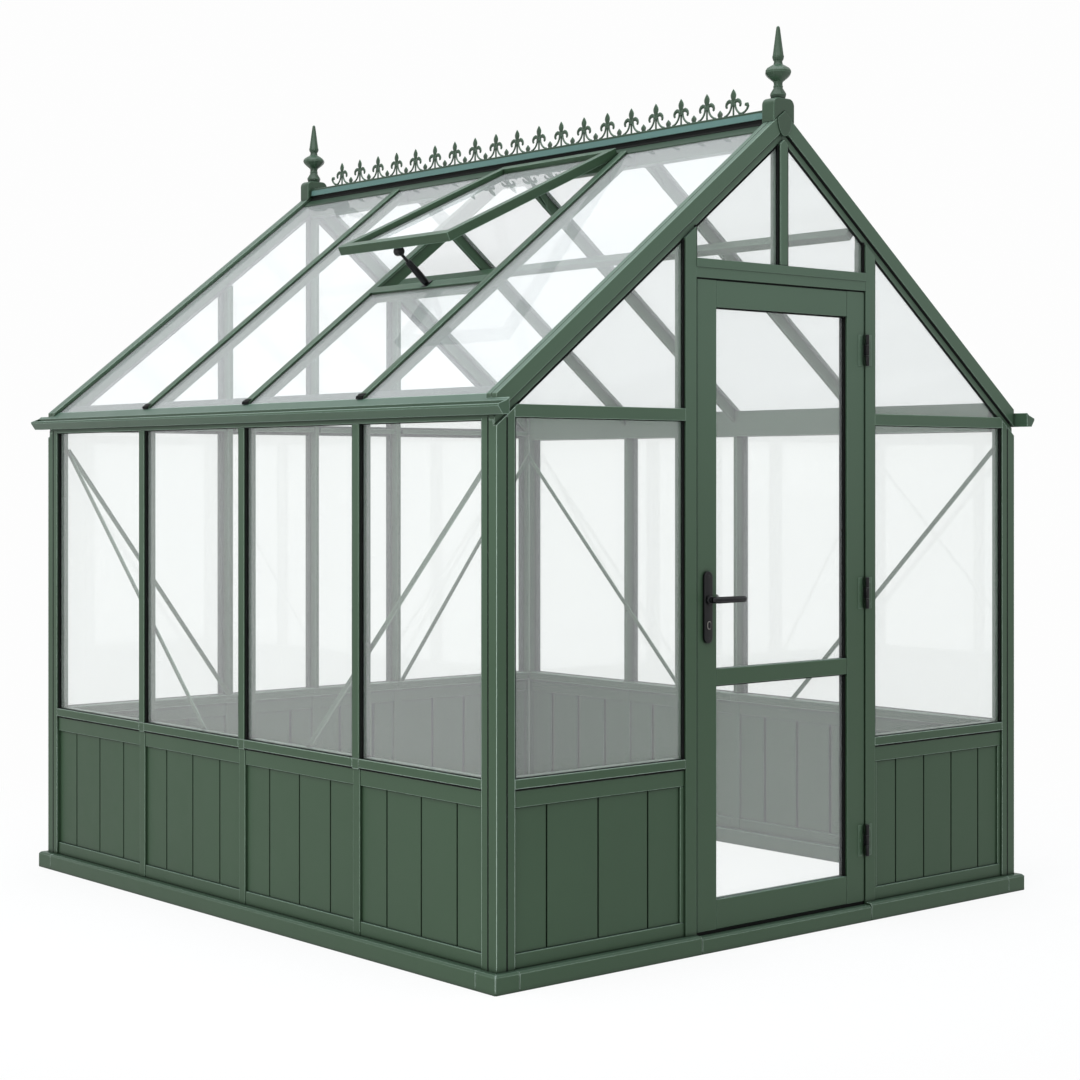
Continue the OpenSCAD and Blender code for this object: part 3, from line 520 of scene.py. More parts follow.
gable_in = half_w - post_w
side_bays = [(*ends, 0, 0, side_board, 4) for ends in openings(half_l - post_w, bar_lines, stile)]
rear_bays = [(*ends, 0, 0, side_board, count)
             for ends, count in zip(openings(gable_in, rear_lines, stile), (4, 3, 3, 4))]
front_bays = [(-gable_in, -door_post_out, 0, gable_stile, 0.195, 4),
              (door_post_out, gable_in, gable_stile, gable_stile, 0.142, 5)]
kick_plans = {
    "left": (side_bays, bar_lines, "side_panels"),
    "right": (side_bays, bar_lines, "side_panels"),
    "front": (front_bays, (), "front_panels"),
    "rear": (rear_bays, rear_lines, "rear_panel"),
}
for wall, (bays, covers, node) in kick_plans.items():
    frames, boards, cores = kick_wall(wall, bays, covers)
    piece(wall + "_kick_frame", frames, sage_frame, "green_frame", node)
    piece(wall + "_kick_boards", boards, sage_boards, "green_panels")
    # The black core shows in the board grooves as painted shade
    piece(wall + "_kick_core", cores, black_rubber_and_shade, "green_panels")

# ---- Rakes ----
# The gable rafters have a deep front cover, a groove along the top and, under the cover, a
# set-back bead that holds the gable glass. They are mitred at the ridge and screwed through.
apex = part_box("front_right_rake")[1].z
pitch = math.radians(38)
down_right = Matrix.Translation((0, 0, apex)) @ Matrix.Rotation(pitch, 4, "Y")
# Each slope's own frame: x runs down the slope from the apex and z leaves the roof
slope = {"right": down_right, "left": Matrix.Scale(-1, 4, (1, 0, 0)) @ down_right}
rake_reach = (-0.2, 1.8)
# (depth behind the gable's face, height over the top plane)
rake_section = (
    (0, 0), (0, -0.046), (0.0132, -0.046), (0.0132, -0.050), (0.0095, -0.050), (0.0095, -0.0695),
    (0.014, -0.0695), (0.014, -0.058), (0.033, -0.058), (0.033, -0.014), (0.045, -0.014), (0.045, 0),
    (0.0255, 0), (0.0255, -0.008), (0.0225, -0.008), (0.0225, 0))


def mirrored(bm, *axes):
    """Turns a piece into its mirror image across the middle of the building."""
    for axis in axes:
        bmesh.ops.scale(bm, vec=[-1 if i == axis else 1 for i in range(3)], verts=bm.verts)
        bmesh.ops.reverse_faces(bm, faces=bm.faces)
    return bm


def gable_rake():
    """The front right rake."""
    bm = bmesh.new()
    outline_run(bm, [(y - half_l, z) for y, z in rake_section], *rake_reach)
    bmesh.ops.transform(bm, matrix=slope["right"], verts=bm.verts)
    clipped(bm, (0.0003, 0, 0), (-1, 0, 0))
    clipped(bm, (half_w, 0, 0), (1, 0, 0))
    soften(bm, 0.0014)
    return bm


for rake, axes in (("front_right_rake", ()), ("front_left_rake", (0,)),
                   ("rear_right_rake", (1,)), ("rear_left_rake", (0, 1))):
    piece(rake + "_bar", mirrored(gable_rake(), *axes), sage_frame, "green_frame", rake)

# ---- Door posts ----
# The door posts carry the jamb lining and the stop. Their cores run up behind the rakes to
# the roof, where they are bolted to the rakes' backs.
core_half = 0.010
core_y = (-half_l + 0.0336, -half_l + 0.0596)
core_foot = 2.0985
core_top_down = 0.0225


def roof_z(x, down):
    """Height of the plane that lies down below the roof's top plane, x from the ridge."""
    return apex - down / math.cos(pitch) - abs(x) * math.tan(pitch)


door_posts = whole_faces("door_posts")
soften(door_posts, 0.0016)
tops = bmesh.new()
for side in (-1, 1):
    middle = side * rear_pitch
    made = block(tops, (middle - core_half, core_y[0], core_foot),
                 (middle + core_half, core_y[1], apex))
    for v in made:
        if v.co.z > (core_foot + apex) / 2:
            v.co.z = roof_z(v.co.x, core_top_down)
soften(tops, 0.0012)
joined(door_posts, tops)
piece("door_post_bars", door_posts, sage_leaf, "green_frame", "door_posts")

# ---- Rafters, purlin and ridge beam ----
# Extruded glazing bars with a cap over the glass. They are screwed to the ridge beam and
# the wall plates, and gusset plates tie each pair to the beam.
sage_roof = coated("Sage powder coat on roof bars", (0.029, 0.059, 0.031), (0.26, 0.37, 0.30),
                   (0.050, 0.090, 0.060))
extruded_bars("rafter_bars", sage_roof, "green_frame", "left_rafters", "right_rafters")
extruded_bars("purlin_bar", sage_roof, "green_frame", "right_purlin")
extruded_bars("ridge_beam_bar", sage_roof, "green_frame", "ridge_beam")

# Rubber caps close the bars' lower ends, with a flap that lies under each bar's cap
rafter_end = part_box("right_rafters")[1].x
cap_middle = rafter_end + 0.0022
cap_half = 0.002
cap_low, cap_high = 1.6480, 1.6562
flap_end = (rafter_end + 0.0025) / math.cos(pitch)
flap_long = 0.014
flap_low, flap_high = -0.0038, -0.0024
flap_proud = 0.0005
end_caps = bmesh.new()
for line in bar_lines:
    for hand, side in (("left", -1), ("right", 1)):
        block(end_caps, (side * cap_middle - cap_half, line - bar_w / 2, cap_low),
              (side * cap_middle + cap_half, line + bar_w / 2, cap_high))
        flap = block(end_caps, (flap_end - flap_long, line - bar_w / 2 - flap_proud, flap_low),
                     (flap_end, line + bar_w / 2 + flap_proud, flap_high))
        bmesh.ops.transform(end_caps, matrix=slope[hand], verts=flap)
soften(end_caps, 0.0004)
piece("rafter_end_caps", end_caps, black_rubber_and_shade, "green_frame")

gusset_t = 0.003
gusset_in, gusset_mid, gusset_out = 0.0203, 0.07, 0.13
gusset_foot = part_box("ridge_beam")[0].z + 0.004
web_half = 0.008
under_cap, under_web = 0.021, 0.052
gussets = bmesh.new()
for line in bar_lines:
    for side in (-1, 1):
        y = line + side * (web_half + gusset_t / 2 + 0.0002)
        for hand in (-1, 1):
            ring = ((gusset_in, gusset_foot), (gusset_in, roof_z(gusset_in, under_cap)),
                    (gusset_out, roof_z(gusset_out, under_cap)),
                    (gusset_out, roof_z(gusset_out, under_web)), (gusset_mid, gusset_foot))
            prism(gussets, [(hand * x, y, z) for x, z in ring], (0, side * gusset_t, 0))
soften(gussets, 0.0006)
piece("ridge_gussets", gussets, sage_roof, "green_frame")

# ---- Gutters ----
# Folded gutters with closed ends run under the eaves, past both gables. A flashing strip
# laps over the edge of the roof glass.
sage_trim = coated("Sage powder coat on trim", (0.038, 0.072, 0.044), (0.28, 0.38, 0.32),
                   (0.066, 0.115, 0.088), roughness=0.36)
for gutter in ("left_gutter", "right_gutter"):
    extruded_bars(gutter + "_run", sage_trim, "green_trim", gutter, radius=0.0012)

# ---- Ridge cap ----
# A folded cap sits over the ridge with an upstand on each side, and flanges underneath that
# hold the top edges of the roof glass. Rubber seals close the neck between cap and glass and
# run on over the flanges' upper parts, as painted shade under the cap.
cap_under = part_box("ridge_cap")[1].z - 0.028
upstand_h = 0.0202
upstand_fade = 0.001
painted_sky_reflection = (0.085, 0.165, 0.15, 1)
ridge_trim = coated("Sage powder coat on ridge", (0.020, 0.043, 0.024), (0.12, 0.19, 0.15),
                    (0.022, 0.046, 0.028), roughness=0.36)
# Painted sky reflection: the upstands' outer faces are tinted towards a pale sky colour
tree = ridge_trim.node_tree
coat = next(n for n in tree.nodes if n.type == "GROUP")
normal = split(tree, added(tree, "NewGeometry").outputs["Normal"])
height = split(tree, added(tree, "TexCoord").outputs["Object"])["Z"]
upstand = calculated(
    tree, "MULTIPLY", ranged(tree, height, cap_under, cap_under + 2 * upstand_fade),
    ranged(tree, height, cap_under + upstand_h + upstand_fade, cap_under + upstand_h))
sideways = ranged(tree, calculated(tree, "ABSOLUTE", normal["X"], 0.0), 0.8, 0.97)
share = calculated(tree, "MULTIPLY", sideways, upstand)
tree.links.new(mixed(tree, share, coat.outputs["Colour"], painted_sky_reflection),
               tree.nodes["Principled BSDF"].inputs["Base Color"])
extruded_bars("ridge_cap_run", ridge_trim, "green_trim", "ridge_cap", radius=0.0016)

neck_x = 0.0242
neck_t = 0.0022
flap_reach = 0.0370
glass_down = 0.0097
flap_down = 0.0082
seal_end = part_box("ridge_cap")[1].y - 0.001
neck_section = (
    (neck_x, roof_z(neck_x - 0.0002, glass_down)), (neck_x, cap_under - 0.0003),
    (neck_x + neck_t, cap_under - 0.0003),
    (neck_x + neck_t + 0.0002, roof_z(neck_x + neck_t + 0.0002, flap_down)),
    (flap_reach, roof_z(flap_reach, flap_down)),
    (flap_reach + 0.0006, roof_z(flap_reach + 0.0006, glass_down)))
# Black strips in the neck and over the flanges, partly seal and partly painted shade
neck_seals_and_shade = bmesh.new()
for hand in (-1, 1):
    made = outline_run(neck_seals_and_shade, [(-hand * x, z) for x, z in neck_section], -seal_end, seal_end)
    bmesh.ops.rotate(neck_seals_and_shade, verts=made, cent=(0, 0, 0), matrix=Matrix.Rotation(math.pi / 2, 3, "Z"))
soften(neck_seals_and_shade, 0.0004)
piece("ridge_neck_seals_and_shade", neck_seals_and_shade, black_rubber_and_shade, "green_trim")

# ---- Ridge end blocks ----
# Arched cast blocks close the ridge over each gable. A leaf-shaped cover plate hides the
# mitre of the two rakes below the block.
cover_w = 0.031
cover_shoulder = 0.024
cover_h = 0.078
cover_t = 0.0035
sage_castings = coated("Sage powder coat on castings", (0.023, 0.050, 0.027), (0.13, 0.21, 0.15),
                       (0.042, 0.080, 0.052), roughness=0.34, drift=0.25, peel=0.00006, shine=0.4)


def cover_outline(steps=9):
    """The cover plate's outline in (x, z) below the apex: two straight top edges on the
    rakes' arrises, and sides that curve in to a rounded foot."""
    turns = [math.pi / 2 * i / steps for i in range(steps)]
    right = [(cover_w * math.cos(turn) ** 0.85,
              -cover_shoulder - (cover_h - cover_shoulder) * math.sin(turn) ** 1.15) for turn in turns]
    return [(0, -0.0005)] + right + [(0, -cover_h)] + [(-x, z) for x, z in reversed(right)]


block_ends = bmesh.new()
part = whole_faces("ridge_end_blocks")
soften(part, 0.0035, segments=3, least=40)
joined(block_ends, part)
for end in (-1, 1):
    plate = bmesh.new()
    prism(plate, [(x, end * (half_l + 0.0002), apex + z) for x, z in cover_outline()],
          (0, end * cover_t, 0))
    soften(plate, 0.0012, least=30)
    joined(block_ends, plate)
piece("ridge_end_castings", block_ends, sage_castings, "green_castings", "ridge_end_blocks")

# ---- Finials ----
# Cast eight-sided finials with a tall spire, a bulb and a moulded foot stand on the blocks.
# Each is one casting, coated like the blocks.
finial_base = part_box("finials")[1].z - 0.2258
finial_y = half_l - 0.026
finial_sides = 8
# (radius, height above the block)
finial_profile = (
    (0.0225, 0), (0.0245, 0.004), (0.0268, 0.012), (0.0255, 0.0165), (0.0160, 0.031), (0.0150, 0.034),
    (0.0162, 0.0365), (0.0162, 0.0385), (0.0148, 0.0405), (0.0146, 0.048), (0.0165, 0.053),
    (0.0318, 0.065), (0.0402, 0.0735), (0.0430, 0.0805), (0.0420, 0.0865), (0.0368, 0.0935),
    (0.0250, 0.101), (0.0165, 0.1055), (0.0146, 0.110), (0.0140, 0.1165), (0.0172, 0.121),
    (0.0192, 0.1275), (0.0194, 0.131), (0.0180, 0.1345), (0.0072, 0.2130), (0.0058, 0.2215),
    (0.0030, 0.2252))
finials = bmesh.new()
for end in (-1, 1):
    part = bmesh.new()
    line = [part.verts.new((r, 0, z)) for r, z in finial_profile]
    edges = [part.edges.new(pair) for pair in zip(line, line[1:])]
    bmesh.ops.rotate(part, verts=part.verts, cent=(0, 0, 0),
                     matrix=Matrix.Rotation(math.pi / finial_sides, 3, "Z"))
    bmesh.ops.spin(part, geom=line + edges, cent=(0, 0, 0), axis=(0, 0, 1), dvec=(0, 0, 0),
                   angle=2 * math.pi, steps=finial_sides, use_merge=True)
    bmesh.ops.remove_doubles(part, verts=part.verts, dist=1e-5)
    bmesh.ops.holes_fill(part, edges=part.edges, sides=finial_sides)
    bmesh.ops.recalc_face_normals(part, faces=part.faces)
    eased(part, [e for e in part.edges if abs(e.verts[0].co.z - e.verts[1].co.z) > 1e-5], 0.0012, 1)
    bmesh.ops.translate(part, verts=part.verts, vec=(0, end * finial_y, finial_base))
    joined(finials, part)
piece("finial_castings", finials, sage_castings, "green_castings", "finials", smooth=24)

# ---- Ridge crest ----
# A cast crest stands on the ridge cap: a foot strip, and lily heads on thin stems that curl
# down to small leaf buds between them. It is one casting a bay, painted like the frame.
crest_low, crest_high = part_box("ridge_crest")
foot_h = 0.006
foot_half = 0.003
fleur_pitch = 0.118
fleur_h = 0.084
fleurs_a_side = 9
scroll_out = 0.012


def swept(bm, path, radii, sides=6, flat=1.0, across=(1, 0, 0), turn_by=0.0):
    """Sweeps a many-sided section along a path that lies in a plane across the given axis.
    flat is the section's thickness along that axis, as a share of its height."""
    across = Vector(across)
    rings = []
    for i, (point, radius) in enumerate(zip(path, radii)):
        ahead = Vector(path[min(i + 1, len(path) - 1)]) - Vector(path[max(i - 1, 0)])
        along = ahead.normalized()
        up = along.cross(across)
        turn = Matrix((across * radius * flat, up * radius, along)).transposed().to_4x4()
        ring = bmesh.ops.create_circle(
            bm, cap_ends=False, segments=sides, radius=1,
            matrix=Matrix.Translation(point) @ turn @ Matrix.Rotation(turn_by, 4, "Z"))["verts"]
        rings.append(ring)
    for ring, following in zip(rings, rings[1:]):
        for k in range(sides):
            after = (k + 1) % sides
            bm.faces.new((ring[k], ring[after], following[after], following[k]))
    bm.faces.new(rings[0])
    bm.faces.new(rings[-1])


def in_ridge_plane(points, hand):
    """Points in (y, z) put in the plane of the ridge, on either hand."""
    return [(0, hand * y, z) for y, z in points]


def arc(centre, radius, start, end, steps):
    """Points of an arc in (y, z), with its angles in degrees from +y."""
    turns = [math.radians(start + (end - start) * i / steps) for i in range(steps + 1)]
    return [(centre[0] + radius * math.cos(turn), centre[1] + radius * math.sin(turn)) for turn in turns]


def fleur():
    """One lily head with its stems, standing on z = 0."""
    bm = bmesh.new()
    leaf_z = (0.034, 0.041, 0.047, 0.053, 0.059, 0.0645, 0.070, 0.0755, 0.080, fleur_h)
    leaf_r = (0.0052, 0.0056, 0.0072, 0.0100, 0.0124, 0.0130, 0.0114, 0.0080, 0.0046, 0.0006)
    swept(bm, [(0, 0, z) for z in leaf_z], leaf_r, sides=4, flat=0.42)
    swept(bm, [(0, 0, 0), (0, 0, 0.033)], (0.0036, 0.0036), flat=0.8)
    curl = ((0.0020, 0.0340), (0.0055, 0.0405), (0.0115, 0.0452), (0.0185, 0.0466), (0.0250, 0.0440),
            (0.0297, 0.0390), (0.0312, 0.0333), (0.0298, 0.0290), (0.0268, 0.0276))
    curl_r = (0.0036, 0.0052, 0.0063, 0.0070, 0.0069, 0.0062, 0.0055, 0.0052, 0.0034)
    stem = arc((0.0460, 0.0380), 0.0385, 172, 262, 7)
    stem_r = [0.0042 - 0.0001 * i for i in range(8)]
    for hand in (-1, 1):
        swept(bm, in_ridge_plane(curl, hand), curl_r, flat=0.6)
        swept(bm, in_ridge_plane(stem, hand), stem_r, sides=5, flat=0.75)
    band = bmesh.new()
    block(band, (-0.0042, -0.0085, 0.0295), (0.0042, 0.0085, 0.0345))
    eased(band, band.edges[:], 0.0012, 1)
    joined(bm, band)
    return bm


def bud():
    """The small leaf bud where two stems meet, standing on z = 0."""
    bm = bmesh.new()
    swept(bm, [(0, 0, z) for z in (0, 0.0035, 0.0080, 0.0130, 0.0180, 0.0235)],
          (0.0105, 0.0092, 0.0122, 0.0114, 0.0068, 0.0008), sides=8, flat=0.4)
    return bm


def end_scroll(hand):
    """The half stem that closes the row: it rises to a small curl towards the end block."""
    bm = bmesh.new()
    path = ((0.0100, 0.0045), (0.0240, 0.0020), (0.0380, 0.0065), (0.0480, 0.0145), (0.0520, 0.0225),
            (0.0490, 0.0290), (0.0430, 0.0290), (0.0410, 0.0245))
    radii = (0.0030, 0.0038, 0.0040, 0.0044, 0.0056, 0.0066, 0.0064, 0.0048)
    swept(bm, in_ridge_plane(path, hand), radii, flat=0.7)
    return bm


def placed_copies(bm, source, places):
    """Adds a copy of a small casting at each distance along the foot strip, and frees it."""
    mesh = bpy.data.meshes.new("casting")
    source.to_mesh(mesh)
    source.free()
    for y in places:
        spot = Vector((0, y, crest_low.z + foot_h - 0.0004))
        mesh.transform(Matrix.Translation(spot))
        bm.from_mesh(mesh)
        mesh.transform(Matrix.Translation(-spot))
    bpy.data.meshes.remove(mesh)


crest = bmesh.new()
block(crest, (-foot_half, crest_low.y, crest_low.z), (foot_half, crest_high.y, crest_low.z + foot_h))
eased(crest, crest.edges[:], 0.0012, 2)
fleur_steps = range(-fleurs_a_side, fleurs_a_side + 1)
placed_copies(crest, fleur(), [i * fleur_pitch for i in fleur_steps])
placed_copies(crest, bud(), [(i + 0.5) * fleur_pitch for i in fleur_steps[:-1]])
for hand in (-1, 1):
    placed_copies(crest, end_scroll(hand), [hand * (fleurs_a_side * fleur_pitch + scroll_out)])
piece("crest_castings", crest, sage_castings, "green_castings", "ridge_crest", smooth=50)

# ---- Roof vent ----
# One roof pane opens: a light framed leaf hangs from a bead under the ridge cap, and an
# automatic opener between its end rail and the sill bar holds it up.
extruded_bars("vent_leaf_frame", sage_roof, "green_frame", "vent_frame", radius=0.0016)
extruded_bars("vent_sill_bar", sage_roof, "green_frame", "vent_sill", radius=0.0016)
satin_black = coated("Satin black coat", (0.0042, 0.0044, 0.0049), (0.030, 0.030, 0.033),
                     (0.008, 0.008, 0.009), roughness=0.34, drift=0.2, peel=0.00003, shine=0.22)
opener_low, opener_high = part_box("vent_opener")
knob_r = 0.0148
knob_half = 0.0135
knob_in = 0.015
foot_half_w = 0.013
foot_half_l = 0.016
foot_drop = 0.004
knob = Vector((opener_low.x + knob_in, (opener_low.y + opener_high.y) / 2, opener_high.z - knob_in))
foot_s = (foot_drop * math.sin(pitch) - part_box("vent_sill")[0].x) / math.cos(pitch) - bar_w / 2
opener_foot = Vector((-foot_s * math.cos(pitch) + foot_drop * math.sin(pitch), knob.y,
                      apex - foot_s * math.sin(pitch) - foot_drop * math.cos(pitch)))
# (share of the way from the foot to the knob, radius)
opener_profile = ((0.0, 0.0080), (0.05, 0.0098), (0.075, 0.0118), (0.30, 0.0124), (0.66, 0.0110),
                  (0.70, 0.0092), (0.705, 0.0052), (0.90, 0.0052))
# (distance along the ridge from the knob's middle, radius)
knob_profile = ((-knob_half, knob_r - 0.003), (-0.011, knob_r), (0.011, knob_r),
                (knob_half, knob_r - 0.003))
opener = bmesh.new()
swept(opener, [opener_foot.lerp(knob, share) for share, _ in opener_profile],
      [r for _, r in opener_profile], sides=16, across=(0, 1, 0))
swept(opener, [knob + Vector((0, y, 0)) for y, _ in knob_profile], [r for _, r in knob_profile], sides=10)
made = block(opener, (foot_s - foot_half_l, knob.y - foot_half_w, -foot_drop),
             (foot_s + foot_half_l, knob.y + foot_half_w, -0.0012))
bmesh.ops.transform(opener, matrix=slope["left"], verts=made)
piece("vent_opener_arm", opener, satin_black, "black_fittings", "vent_opener", smooth=35)

# ---- Glass ----
# Clear 4 mm toughened panes slide into the channels. The roof's panes carry a thin film of
# dust, so what lies behind them looks paler.


def seen_rays(tree, *kinds):
    """1 for rays of any of these kinds."""
    rays = added(tree, "LightPath").outputs
    share = rays[f"Is {kinds[0]} Ray"]
    for kind in kinds[1:]:
        share = calculated(tree, "MAXIMUM", share, rays[f"Is {kind} Ray"])
    return share


def blended(tree, share, first, second, output):
    """Sends a mix of two shaders to the output."""
    made = added(tree, "MixShader", {0: share, 1: first.outputs[0], 2: second.outputs[0]})
    tree.links.new(made.outputs["Shader"], output.inputs["Surface"])


def glazing(name, tint, clearness, bending):
    """Clear glass. Lamps and soft light pass it straight."""
    made, tree, shader = finished(name)
    shader.inputs["Base Color"].default_value = (*tint, 1)
    shader.inputs["Roughness"].default_value = 0
    shader.inputs["IOR"].default_value = bending
    shader.inputs["Transmission Weight"].default_value = clearness
    open_to_lamps = added(tree, "BsdfTransparent", {"Color": (0.95, 0.965, 0.96, 1)})
    blended(tree, seen_rays(tree, "Shadow", "Diffuse"), shader, open_to_lamps,
            tree.nodes["Material Output"])
    return made


wall_glass = glazing("Clear wall glass", (0.954, 0.966, 0.959), 0.94, 1.5)
roof_glass = glazing("Clear roof glass", (0.93, 0.94, 0.945), 0.88, 1.12)
for finish, nodes in ((wall_glass, ("side_glass", "front_glass", "rear_glass", "door_glass")),
                      (roof_glass, ("left_roof_glass", "right_roof_glass", "vent_glass"))):
    for node in nodes:
        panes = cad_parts[node]
        panes.data.materials.clear()
        panes.data.materials.append(finish)

# ---- Braces ----
# Flat diagonal bars stiffen the end bays of the side walls and the rear gable. Each is an
# aluminium bar, bolted at its head and foot.
extruded_bars("brace_bars", sage_frame, "green_frame", "braces", radius=0.0008)

# ---- Door leaf ----
# Two full-height stiles with three rails between them, all in the same hollow section. The
# rails end just short of the stiles, so the joints show as fine upright lines.
rail_low, rail_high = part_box("door_rails")
rail_short = 0.0008
extruded_bars("door_stile_bars", sage_leaf, "green_frame", "door_stiles", body="door", radius=0.0018)
rails = whole_faces("door_rails")
for v in rails.verts:
    if v.co.x > rail_high.x - 0.001:
        v.co.x -= rail_short
    elif v.co.x < rail_low.x + 0.001:
        v.co.x += rail_short
soften(rails, 0.0018)
piece("door_rail_bars", rails, sage_leaf, "green_frame", "door_rails", body="door")

# ---- Hinges ----
# Three hinges with black rolled knuckles. Their thin plates lie nearly flush on the post and
# the stile, screwed on and coated with them.
leaf_low, leaf_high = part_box("door_stiles")
hinge_x = (leaf_high.x + head_high.x) / 2
hinge_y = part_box("frame_hinges")[0].y + 0.0075
hinge_h = 0.100
hinge_mid = (0.255, 1.045, 1.820)
knuckle_r = 0.0063
knuckle_gap = 0.0009
third = (hinge_h - 2 * knuckle_gap) / 3
plate_in = 0.0090
plate_w = 0.021
plate_t = 0.0011
plate_lift = 0.0001
tongue_out = 0.0095
screw_out = 0.0195
screw_rise = 0.034
# (height of the dome, radius) of a screw head
screw_dome = ((0, 0.0038), (0.0003, 0.003268), (0.0005, 0.00152))


def half_hinges(side, front, thirds, neck, neck_y, tongue_in):
    """The knuckles and the plates on one side of the pins, -1 for the leaf's and 1 for the
    post's. The thirds are the ones of each hinge, from its foot, that this side holds."""
    knuckles, plates = bmesh.new(), bmesh.new()

    def slab(bm, reach, y_low, y_high, foot, height):
        """A block between two distances from the pins."""
        low, high = sorted(hinge_x + side * x for x in reach)
        block(bm, (low, y_low, foot), (high, y_high, foot + height))

    for middle in hinge_mid:
        foot = middle - hinge_h / 2
        for i in thirds:
            z = foot + i * (third + knuckle_gap)
            made = bmesh.ops.create_cone(knuckles, cap_ends=True, segments=20, radius1=knuckle_r,
                                         radius2=knuckle_r, depth=third)["verts"]
            bmesh.ops.translate(knuckles, verts=made, vec=(hinge_x, hinge_y, z + third / 2))
            slab(plates, (tongue_in, tongue_out), front - plate_t * 0.9, front - plate_lift, z, third)
            slab(knuckles, neck, hinge_y + neck_y, front - 0.0004, z, third)
        slab(plates, (plate_in, plate_in + plate_w), front - plate_t, front - plate_lift, foot, hinge_h)
    for bm in (knuckles, plates):
        soften(bm, 0.0004, least=40)
    for middle in hinge_mid:
        for z in (middle - screw_rise, middle, middle + screw_rise):
            swept(plates, [(hinge_x + side * screw_out, front - plate_t - dome, z) for dome, _ in screw_dome],
                  [r for _, r in screw_dome], sides=12)
    return knuckles, plates


for fixed_to, node, body, parts in (
        ("post", "frame_hinges", "frame", half_hinges(1, -half_l, (0, 2), (0.001, 0.0032), 0.0035, 0.002)),
        ("leaf", "door_hinges", "door", half_hinges(-1, leaf_low.y, (1,), (0.003, 0.0052), 0.003, 0.0026))):
    for kind, bm, finish in zip(("knuckles", "plates"), parts, (satin_black, sage_leaf)):
        piece(f"hinge_{kind}_on_{fixed_to}", bm, finish, "black_fittings", node, body=body, smooth=35)

# ---- Handle ----
# Each face has a long black backplate with round ends, a round boss and a flat-sided lever
# that is turned at its neck and rounded at its tip. Below it sits an oval key cylinder.
plate_low, plate_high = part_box("handle_plates")
lever_low, lever_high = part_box("door_lever")
spindle_x = (plate_low.x + plate_high.x) / 2
spindle_z = (lever_low.z + lever_high.z) / 2
plate_mid = (plate_low.z + plate_high.z) / 2
backplate_r = (plate_high.x - plate_low.x) / 2
backplate_t = leaf_low.y - plate_low.y - 0.0002
plate_straight = plate_high.z - plate_low.z - 2 * backplate_r
plate_screw = plate_straight / 2 + 0.002
key_z = 0.973
key_straight = 0.009
key_slot = ((-0.0009, -0.0055), (0.0009, -0.0055), (0.0009, 0.0055), (-0.0009, 0.0055))
boss_out = backplate_t + 0.0005
arm_y = abs(lever_low.y - leaf_low.y) - 0.0093
bend = 0.016
bend_steps = 5
tip_stations = (0.040, 0.0080, 0.0035, 0.0010, 0.0001)
# (height, radius) of the heads of the backplate's screws and of the boss
plate_screw_profile = ((0, 0.0036), (0.0006, 0.0031), (0.001, 0.0014))
boss_profile = ((0.0000, 0.0128), (0.0030, 0.0136), (0.0070, 0.0126), (0.0090, 0.0100), (0.0200, 0.0096))
lever_radii = (0.0104, 0.0106, 0.0108, 0.0109, 0.0109, 0.0108, 0.0104, 0.0099, 0.0084, 0.0056, 0.0022)


def oval(centre_z, radius, straight, steps=10):
    """A closed oval in (x, z) on the spindle's line: half rounds with straight sides between."""
    ring = []
    for side, first in ((1, 0), (-1, math.pi)):
        for i in range(steps + 1):
            turn = math.pi * i / steps + first
            ring.append((spindle_x + radius * math.cos(turn),
                         centre_z + side * straight / 2 + radius * math.sin(turn)))
    return ring


def turned(bm, face, out, start, z, profile, sides):
    """A round part on the spindle's line that stands out from a face of the leaf."""
    swept(bm, [(spindle_x, face + out * (start + h), z) for h, _ in profile],
          [r for _, r in profile], sides=sides)


backplates, key_rings, key_plugs, levers = (bmesh.new() for _ in range(4))
leaf_faces = ((leaf_low.y, -1), (leaf_high.y, 1))
for face, out in leaf_faces:
    for bm, ring, start, height in (
            (backplates, oval(plate_mid, backplate_r, plate_straight), 0.0001, backplate_t),
            (key_rings, oval(key_z, 0.0078, key_straight), backplate_t + 0.0001, 0.0022),
            (key_plugs, oval(key_z, 0.0060, key_straight), backplate_t + 0.0024, 0.0012)):
        prism(bm, [(x, face + out * start, z) for x, z in ring], (0, out * height, 0))
soften(backplates, 0.0024, segments=3, least=40)
soften(key_rings, 0.0009, least=40)
soften(key_plugs, 0.0005, least=40)
for face, out in leaf_faces:
    for z in (plate_mid + plate_screw, plate_mid - plate_screw):
        turned(backplates, face, out, backplate_t, z, plate_screw_profile, 12)
    prism(levers, [(spindle_x + x, face + out * (backplate_t + 0.0038), key_z + z) for x, z in key_slot],
          (0, out * 0.0003, 0))
    turned(levers, face, out, boss_out, spindle_z, boss_profile, 20)
    path = [(spindle_x, face + out * (boss_out + 0.0195), spindle_z)]
    for i in range(1, bend_steps + 1):
        turn = math.pi / 2 * i / bend_steps
        path.append((spindle_x + bend * (1 - math.cos(turn)),
                     face + out * (arm_y - bend * (1 - math.sin(turn))), spindle_z))
    path += [(lever_high.x - back, face + out * arm_y, spindle_z) for back in tip_stations]
    swept(levers, path, lever_radii, sides=8, flat=0.98, across=(0, 0, 1), turn_by=math.pi / 8)

brushed_steel, tree, shader = finished("Brushed steel")
shader.inputs["Metallic"].default_value = 1
shader.inputs["Base Color"].default_value = (0.30, 0.29, 0.27, 1)
brushing = noise(tree, added(tree, "TexCoord").outputs["Object"], 900, 2)
tree.links.new(ranged(tree, brushing, 0.3, 0.7, 0.22, 0.4), shader.inputs["Roughness"])
piece("handle_backplates", backplates, satin_black, "black_fittings", "handle_plates", body="door", smooth=35)
piece("key_rings", key_rings, brushed_steel, "black_fittings", body="door", smooth=35)
piece("key_plugs", key_plugs, satin_black, "black_fittings", body="door", smooth=35)
piece("lever_handles", levers, satin_black, "black_fittings", "door_lever", body="lever", smooth=32)
